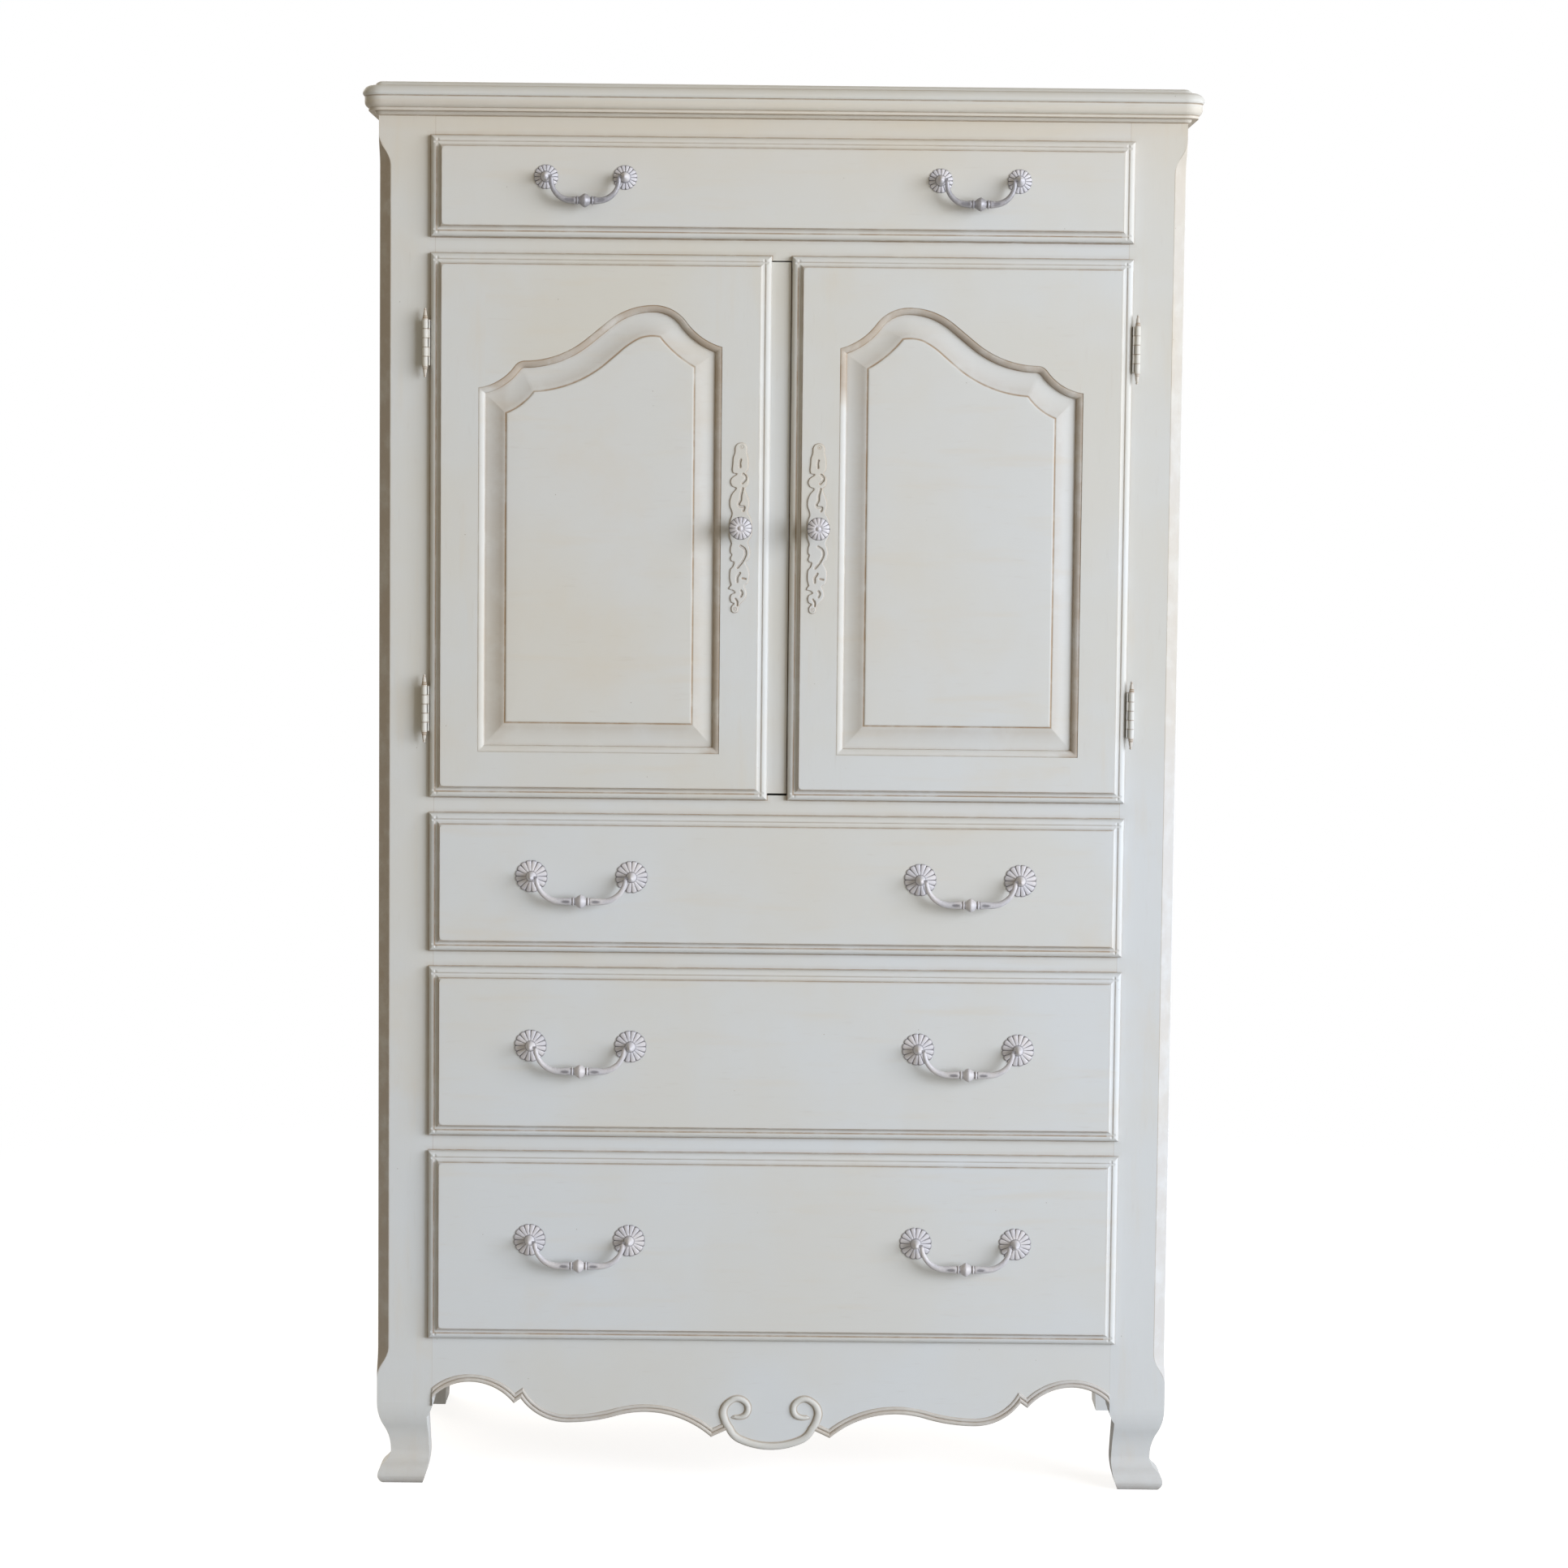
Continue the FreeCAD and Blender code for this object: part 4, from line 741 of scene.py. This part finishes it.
def rosette(centre, size):
    """A domed plate with sixteen convex petals: height = rim + dome * (1 - r^2), less the
    petals' valleys, and a scalloped rim."""
    r = np.concatenate([[0, 0.98, 1.0], np.linspace(1.0, 0.12, 18), [0]])
    base = np.concatenate([[0, 0, 0.4], 0.9 + 2.6 * (1 - np.linspace(1, 0.12, 18) ** 2), [3.4]])

    def petals(radius, height, tone, angle):
        share = radius / size
        ridge = np.abs(np.sin(8 * angle)) ** 0.3
        fade = np.clip((share - 0.2) / 0.4, 0, 1)
        scallop = 1 - 0.055 * (1 - ridge) * np.clip((share - 0.7) / 0.3, 0, 1)
        top = height > 0.5
        new_height = height - np.where(top, (1 - ridge) * 0.9 * fade, 0)
        rim = np.clip((share - 0.9) / 0.1, 0, 1)
        valley = np.where(top, ((1 - ridge) ** 1.2 * (0.3 + 0.7 * share) + rim * 0.7), 0.95)
        return radius * scallop, new_height, valley

    return turned(zip(r * size, base), centre, lobes=petals, steps=128)


def pull_post(centre):
    """A post that flares at its foot and ends in a blunt tip, and its screw inside the drawer."""
    profile = [(0, 2.6), (6.6, 3), (6.1, 3.6), (5.5, 4.6), (5.2, 6.5), (4.9, 9), (4.6, 12), (4.1, 14.6),
               (3.3, 16.8), (2.4, 18.7), (1.5, 20.1), (0.7, 20.8), (0, 21)]
    post = turned(profile, centre, lambda height: 0.55 * bump_at(height, 3, 2.5) + 0.1, steps=32)
    profile = [(0, -2), (1.9, -2), (1.9, -22.7), (4.2, -22.7), (4.1, -24.4), (3, -25.1), (0, -25.1)]
    return [post, turned(profile, centre, steps=24)]


def bail(pivot, half_end, bend_r, drop, dull):
    """A cast bail: a round section carried along half its length from the middle out, then
    mirrored. The path is a bar, a quarter circle and a short straight; the radius swells at
    the bead with its sharp ridge and at two rings."""
    bend_x = half_end - bend_r
    straight = drop - bend_r
    length = bend_x + bend_r * math.pi / 2 + straight
    out = np.unique(np.concatenate([np.linspace(0, 12, 49), np.linspace(12, length - 2, 60),
                                    length - 2 * np.linspace(1, 0, 8) ** 2]))
    turn = np.clip((out - bend_x) / bend_r, 0, math.pi / 2)
    up = np.clip(out - bend_x - bend_r * math.pi / 2, 0, None)
    x = np.minimum(out, bend_x) + bend_r * np.sin(turn)
    z = -drop + bend_r * (1 - np.cos(turn)) + up
    swell = np.interp(out, [0, 12, bend_x, length], [4.3, 4.4, 3.75, 2.3])
    bead = 3.5 * np.clip(1 - (out / 5.7) ** 1.5, 0, 1)
    rings = 0.9 * bump_at(out, 8.4, 1.1) - 0.5 * bump_at(out, 6.8, 0.8) - 0.3 * bump_at(out, 10.2, 0.9)
    radius = (swell + bead + rings) * np.sqrt(np.clip((length - out) / 2, 0, 1))
    hollows = bump_at(out, 6.8, 0.7) + bump_at(out, 10.1, 0.7)
    halves = ((x, -1), (z, 1), (turn, -1), (radius, 1), (out, -1), (hollows, 1))
    x, z, turn, radius, out, hollows = [np.concatenate([values[:0:-1] * flip, values])
                                        for values, flip in halves]
    around = np.linspace(0, 2 * math.pi, 28, endpoint=False)[None, :]
    side = radius[:, None] * np.cos(around)
    points = np.stack([pivot[0] + x[:, None] - side * np.sin(turn)[:, None],
                       pivot[1] - radius[:, None] * np.sin(around),
                       pivot[2] + z[:, None] + side * np.cos(turn)[:, None]], -1)
    front = np.clip(np.sin(around), 0, 1)
    ahead = front ** 3 * np.clip(1.2 - np.abs(np.cos(around)) * 2.2, 0, 1)
    worn = bump_at(np.abs(out), 17.0, 7.0)[:, None] * ahead
    tone = hollows[:, None] * 0.8 + worn * 0.95 + dull + 0 * around
    body = surface(points, tone, wrap_columns=True)
    pin_ends = half_end + np.array([-1, -1, 5.2, 5.2])
    pins = [turned(zip([0, 1.4, 1.4, 0], pin_ends), pivot, lambda height: 0.6, None, 16, 0, flip)
            for flip in (-1, 1)]
    return [body] + pins


# A bail ends this far inside its posts' middles, and hangs this far below them
bail_end_in = 6.5
bail_drop = 27.0

for name in drawer_names:
    half_centres, bend_r, plate_r, dull = 57.15, 27.0, 18.5, 0.22
    if name == "top_drawer":
        half_centres, bend_r, plate_r, dull = 44.45, 23.0, 13.75, 0.5
    mounts = []
    for side in ("left", "right"):
        handle = f"{name}_{side}_bail"
        x, y, z = [value / MM for value in pivots[handle + "_swing"]]
        y -= face_y
        cast = bail((x, y, z), half_centres - bail_end_in, bend_r, bail_drop, dull)
        make(handle + "_cast", handle, pewter, cast, [handle])
        for flip in (-1, 1):
            centre = (x + flip * half_centres, field_y, z)
            mounts += [rosette(centre, plate_r)] + pull_post(centre)
    make(name + "_pull_plates", name, pewter, mounts, [name + "_pull_mounts"])


def knob(x, z):
    """A turned knob whose face is a flower: fourteen petals rise from a ringed button."""
    profile = [(0, 0.2), (8.2, 0.2), (8.2, 1.8), (7.2, 2.8), (5.6, 4.2), (4.7, 6.5), (4.5, 10), (4.9, 13.5),
               (7, 15.8), (10.5, 17.2), (12.4, 18.6), (13, 20.5), (13, 21.8), (12.7, 22.8),
               (12, 23.6), (11, 24.3), (9.5, 25.1), (8, 25.7), (6.5, 26.1), (5.2, 26.3), (4.2, 26.1),
               (3.4, 25.6), (2.8, 25.7), (2.3, 26.7), (1.5, 27.6), (0.7, 27.95), (0, 28)]

    def petals(radius, height, tone, angle):
        on_face = height > 21
        ridge = np.abs(np.sin(7 * angle)) ** 0.34
        share = np.clip((radius - 3.6) / 5, 0, 1)
        valley = np.where(on_face, (1 - ridge) * share, 0)
        new_height = height - valley * 1.1
        rim = bump_at(radius, 13.0, 0.9)
        ring = bump_at(radius, 3.3, 1.0) * on_face
        dark = np.where(on_face, valley ** 1.2 * 0.75 + rim * 0.8 + ring * 0.28, 0.75)
        return radius * (1 - 0.035 * valley), new_height, np.where(height < 17, 0.35, dark)

    return turned(profile, (x, field_y, z), lobes=petals, steps=126)


# The pierced plates behind the knobs, from their middles, across and up: down the left side of
# the outline and up the right
plate_corners = [
    (0.7, 96.5), (-4.3, 95.4), (-7.2, 91), (-7.5, 85.3), (-9.4, 79.5), (-9.8, 72.3), (-10.4, 65.8),
    (-9, 62), (-5, 61), (-10.4, 57), (-12.4, 52), (-10.1, 47), (-5.5, 44.8), (-10.1, 39),
    (-12.7, 31.8), (-12.7, 24.6), (-10.8, 19.5), (-10.2, 15), (-12.4, 8), (-12.9, -2),
    (-12.6, -11), (-10.4, -17.5), (-11.6, -21.7), (-11.8, -27.5), (-10.1, -30.3), (-11.6, -34),
    (-10.4, -37.6), (-7.5, -38.7), (-8.7, -43.4), (-11.6, -47), (-12.3, -56.4), (-11.3, -62),
    (-10.6, -64.6), (-12.7, -67), (-12.4, -69.6), (-8.7, -70.4), (-6, -73), (-10.1, -75),
    (-11.6, -79.5), (-10.3, -84), (-7.2, -85.6), (-9.6, -88.4), (-10.3, -91.6), (-9.2, -95.2),
    (-5.8, -96.4), (-2.5, -94.8), (-1.6, -90), (0.6, -85.6), (5, -81), (7.2, -76), (6.6, -70),
    (4.6, -65.4), (8.2, -62.5), (10, -57), (10.2, -50), (8.4, -44), (6, -39), (9.2, -35.5),
    (11, -29), (10.4, -22), (8.6, -16), (12.4, -8), (12.9, 2), (11.6, 11), (7.8, 18.6),
    (9.4, 25), (9.2, 32), (6.4, 39), (4.4, 45), (7.4, 48), (8.8, 53), (8, 58),
    (5.2, 62.2), (7.6, 66), (8.4, 73), (7.8, 80), (6.2, 85.5), (6.6, 90.5), (4.6, 94.6)]
piercings = [([(-0.7, 77), (-1.7, 73.4), (-1.2, 69)], 0.75),
             ([(2.2, 61), (4.8, 58.6), (5.2, 55.4), (1.4, 50.9)], 0.8),
             ([(1.9, 44.8), (0, 37.6), (-0.3, 31.8), (-2.6, 27.7), (-1.4, 24.6), (3.6, 23.8),
               (2.6, 19.9)], 0.8),
             ([(-0.3, -20.2), (4.6, -23.8), (5.8, -29.6), (2.2, -37.6), (-3.2, -44.5)], 0.8),
             ([(-0.7, -51), (-3.6, -55.6), (-3.6, -60.7)], 0.75),
             ([(2.2, -56.8), (6, -57.4)], 0.5),
             ([(0.7, -70.8), (2.2, -73.7), (0.7, -77.3)], 0.75),
             ([(-5.6, -80), (-3.4, -83.2), (-3.2, -87.6)], 0.55)]
plate_screws = [(0.3, 91.8), (-5.8, -91.8)]


def spline(points, closed, steps=5):
    """Catmull-Rom: between two points, half of (2b + (c - a) t + (2a - 5b + 4c - d) t^2 +
    (3b - a - 3c + d) t^3)."""
    p = np.array(points, float)
    ring = np.vstack([p[-1:], p, p[:2]]) if closed else np.vstack([p[:1], p, p[-1:]])
    t = np.linspace(0, 1, steps, endpoint=False)[None, :, None]
    a, b, c, d = [ring[i:len(ring) - 3 + i, None] for i in range(4)]
    curve = 2 * b + (c - a) * t + (2 * a - 5 * b + 4 * c - d) * t ** 2 + (3 * b - a - 3 * c + d) * t ** 3
    curve = curve.reshape(-1, 2) / 2
    return curve if closed else np.vstack([curve, p[-1:]])


def nearest(spots, starts, ends):
    """The distance from each spot to the nearest of some straight runs."""
    run = (ends - starts)[None]
    from_start = spots[:, None] - starts[None]
    share = np.clip((from_start * run).sum(-1) / (run ** 2).sum(-1), 0, 1)[..., None]
    return np.sqrt(((from_start - run * share) ** 2).sum(-1)).min(1)


plate_outline = spline(plate_corners, True)
piercing_runs = [(spline(points, False), width) for points, width in piercings]


def plate_field(spots):
    """How far a spot lies outside the pierced plate, negative inside: the outline's distance,
    with a sign from how many runs are crossed on the way to the right, cut by the piercings."""
    starts = plate_outline
    ends = np.roll(plate_outline, -1, 0)
    away = nearest(spots, starts, ends)
    x, z = spots[:, :1], spots[:, 1:]
    spans = (starts[None, :, 1] > z) != (ends[None, :, 1] > z)
    climb = np.where(ends[:, 1] == starts[:, 1], 1, ends[:, 1] - starts[:, 1])
    slope = (ends[:, 0] - starts[:, 0]) / climb
    crossing = starts[None, :, 0] + (z - starts[None, :, 1]) * slope[None]
    inside = ((spans & (x < crossing)).sum(1) % 2).astype(bool)
    field = np.where(inside, -away, away)
    for curve, width in piercing_runs:
        field = np.maximum(field, width - nearest(spots, curve[:-1], curve[1:]))
    return field


def pierced_plate():
    """The plate as a grid whose points near an edge are moved on to it, by their field along
    its slope. Its height rounds off within 1.4 mm of every edge, and its screws stand proud.
    A second layer and a wall along every edge close it."""
    pitch = 0.55
    across, up = np.meshgrid(np.arange(-13.2, 13.3, pitch), np.arange(-97.9, 97.5, pitch))
    shape = across.shape
    spots = np.stack([across.ravel(), up.ravel()], 1)
    field = plate_field(spots)
    close = np.abs(field) < pitch * 0.75
    for step in range(2):
        near = spots[close]
        small = 0.04
        here = plate_field(near)
        slope = [plate_field(near + aside) - here for aside in ((small, 0), (0, small))]
        slope = np.stack(slope, 1) / small
        slope /= np.maximum(np.sqrt((slope ** 2).sum(1, keepdims=True)), 0.3)
        spots[close] = near - slope * here[:, None]
    field[close] = 0
    valid = field <= 0
    cells = quads(*shape)
    good = valid[cells]
    faces = cells[good.all(1)]
    three = cells[good.sum(1) == 3]
    keep = valid[three]
    order = np.argsort(~keep, axis=1, kind="stable")[:, :3]
    corners = np.take_along_axis(three, np.sort(order, 1), 1)
    in_from_edge = np.clip(-field / 1.4, 0, 1)
    height = 0.55 + 0.85 * np.sqrt(1 - (1 - in_from_edge) ** 2)
    # Glaze along every edge and round the piercings, dark enough to be painted shade in the holes as well
    glaze = 0.78 * (1 - np.clip(-field / 0.95, 0, 1)) + 0.03
    for x, z in plate_screws:
        away = np.sqrt(((spots - (x, z)) ** 2).sum(1))
        height = np.where(away < 2.0, 0.9 + 0.5 * np.sqrt(np.clip(1 - (away / 2.0) ** 2, 0, 1)), height)
        glaze = np.maximum(glaze, np.where(away < 0.6, 0.9, 0.6 * bump_at(away, 2.1, 0.6)))
    front = np.stack([spots[:, 0], -height, spots[:, 1]], 1)
    behind = np.stack([spots[:, 0], np.full(len(spots), 0.1), spots[:, 1]], 1)
    count = len(spots)
    edges = np.concatenate([part[:, [i, (i + 1) % part.shape[1]]] for part in (faces, corners)
                            for i in range(part.shape[1])])
    which, times = np.unique(np.sort(edges, 1), axis=0, return_index=True, return_counts=True)[1:]
    rim = edges[which[times == 1]]
    wall = np.stack([rim[:, 0], rim[:, 1], rim[:, 1] + count, rim[:, 0] + count], 1)
    all_faces = [faces, wall, faces[:, ::-1] + count, corners, corners[:, ::-1] + count]
    used = np.unique(np.concatenate([part.ravel() for part in all_faces]))
    renumber = np.full(2 * count, -1)
    renumber[used] = np.arange(len(used))
    points = np.concatenate([front, behind])[used]
    tones = np.concatenate([glaze, glaze])[used]
    return points, [renumber[face].tolist() for part in all_faces for face in part], tones


plate_paint = paint("knob_plate_paint", 44, carved_lines, "z", 0.06)
plate_points, plate_faces, plate_tones = pierced_plate()
knob_z = sum(rectangle("left_door_knob")[2:]) / 2
for side, knob_x in (("left", -44), ("right", 44)):
    door = side + "_door"
    make(door + "_flower_knob", door, pewter, [knob(knob_x, knob_z)], [door + "_knob"])
    placed = plate_points + (knob_x, field_y, knob_z)
    make(door + "_pierced_plate", door, plate_paint, [(placed, plate_faces, plate_tones)],
         [door + "_knob_plate"], 50)


def finial(x, y, z, sense):
    """A turned finial on the end of a hinge: rings, a long taper and a small ball."""
    profile = [(0, -0.6), (3.2, -0.6), (3.3, 0.4), (3.2, 1.2), (2.6, 1.6), (2.75, 2.2), (2.95, 2.7),
               (2.75, 3.3), (2.3, 3.8), (2.35, 4.6), (2.2, 6.4), (1.8, 8.4), (1.35, 10.2), (1.1, 10.9),
               (1.45, 11.5), (1.5, 12.1), (1.1, 12.7), (0, 13)]

    def glaze(height):
        joints = bump_at(height, 1.7, 0.9) + bump_at(height, 3.8, 0.9)
        return 0.8 * joints + 0.7 * bump_at(height, 10.9, 0.8) + 0.25

    return turned(profile, (x, y, z), glaze, steps=24, axis=2, sense=sense)


finial_paint = paint("finial_paint", 51, carved_lines, "z", 0.15)
for side in ("left", "right"):
    x, y, z = [value / MM for value in pivots[side + "_door_hinge"]]
    ends = [finial(x, y - face_y, door_middle_z + hinge * hinge_out + end * barrel_half, end)
            for hinge in (-1, 1) for end in (-1, 1)]
    make(side + "_hinge_finials", "case", finial_paint, ends)


# The studio
def seen_directly(finish):
    """1 for the rays that show a thing itself: straight, in a mirror or through glass."""
    rays = finish.node("LightPath")
    kinds = ("Is Camera Ray", "Is Glossy Ray", "Is Transmission Ray")
    return finish.most(*[Value(finish, rays.outputs[kind]) for kind in kinds])


def studio_floor():
    """A wide pale floor: white far away, and near the chest a diffuse floor that keeps its shadow."""
    mesh = bpy.data.meshes.new("studio_floor")
    reach = 60.0
    corners = [(-reach, -reach, 0), (reach, -reach, 0), (reach, reach, 0), (-reach, reach, 0)]
    mesh.from_pydata(corners, [], [(0, 1, 2, 3)])
    finish = Finish("studio_floor")
    seen = seen_directly(finish)
    away = finish.output("VectorMath", "Value", {"operation": "LENGTH"}, {0: finish.coordinates})
    far = finish.rise(away, 0.75, 2.4) * seen
    diffuse = finish.output("BsdfDiffuse", 0, None, {0: colour(188, 188, 187)})
    glow = finish.output("Emission", 0, None, {0: (1, 1, 1, 1), 1: seen * 0.84})
    near = finish.output("AddShader", 0, None, {0: diffuse, 1: glow})
    white = finish.output("Emission", 0, None, {0: (1, 1, 1, 1), 1: 1.0})
    shown = finish.output("MixShader", 0, None, {0: far, 1: near, 2: white})
    finish.node("OutputMaterial", inputs={0: shown})
    mesh.materials.append(finish.result)
    added("studio_floor", mesh)


def set_up(item, *axes_and_place):
    """Turns and places a lamp or camera: its right, its up, its back and its place."""
    item.matrix_world = Matrix([*zip(*axes_and_place), (0, 0, 0, 1)])


def soft_lamp(name, azimuth, height, power, tint):
    """A lamp 5.5 m wide and 4.5 m tall that faces the chest from 8 m away: azimuth is turned from
    the front to the right, and height is its angle over the level, both in degrees."""
    azimuth, height = math.radians(azimuth), math.radians(height)
    lamp = bpy.data.lights.new(name, "AREA")
    lamp.shape = "RECTANGLE"
    lamp.size, lamp.size_y, lamp.energy, lamp.color = 5.5, 4.5, power, tint
    side = (math.cos(azimuth), math.sin(azimuth), 0)
    level = np.array([math.sin(azimuth), -math.cos(azimuth), 0])
    out = level * math.cos(height) + np.array([0, 0, math.sin(height)])
    chest_middle = np.array([0, 0, 0.85])
    set_up(added(name, lamp), side, np.cross(out, side), out, chest_middle + out * 8.0)


def studio_light():
    """Even light from all round, a large soft lamp like a window on the right, and a weaker one
    behind the chest on the left, which doesn't reach its front."""
    sky = Finish("studio", "worlds")
    bpy.context.scene.world = sky.result
    light = sky.mix(seen_directly(sky), (0.35, 0.295, 0.205, 1), (1, 1, 1, 1))
    background = sky.output("Background", 0, None, {"Color": light})
    sky.node("OutputWorld", inputs={0: background})
    soft_lamp("window", azimuth=53, height=8, power=785, tint=(0.94, 0.995, 1.09))
    soft_lamp("far_window", azimuth=-152, height=20, power=380, tint=(1.0, 0.985, 0.96))


def studio_camera():
    """The photograph's camera, from the chest's edges: its place, its turn and its lens."""
    pitch, yaw, roll = math.radians(4.532), math.radians(-0.1174), math.radians(0.587)
    forward = np.array([-math.sin(yaw) * math.cos(pitch), math.cos(yaw) * math.cos(pitch), -math.sin(pitch)])
    level = np.array([math.cos(yaw), math.sin(yaw), 0])
    upright = np.cross(level, forward)
    right = level * math.cos(roll) + upright * math.sin(roll)
    up = upright * math.cos(roll) - level * math.sin(roll)
    lens = bpy.data.cameras.new("camera")
    lens.lens = 86.18
    lens.sensor_width = 36
    lens.clip_end = 200
    camera = added("camera", lens)
    set_up(camera, right, up, -forward, (-0.0007, -4.47454, 1.1575))
    bpy.context.scene.camera = camera


studio_floor()
studio_light()
studio_camera()
bpy.context.scene.view_settings.view_transform = "Standard"
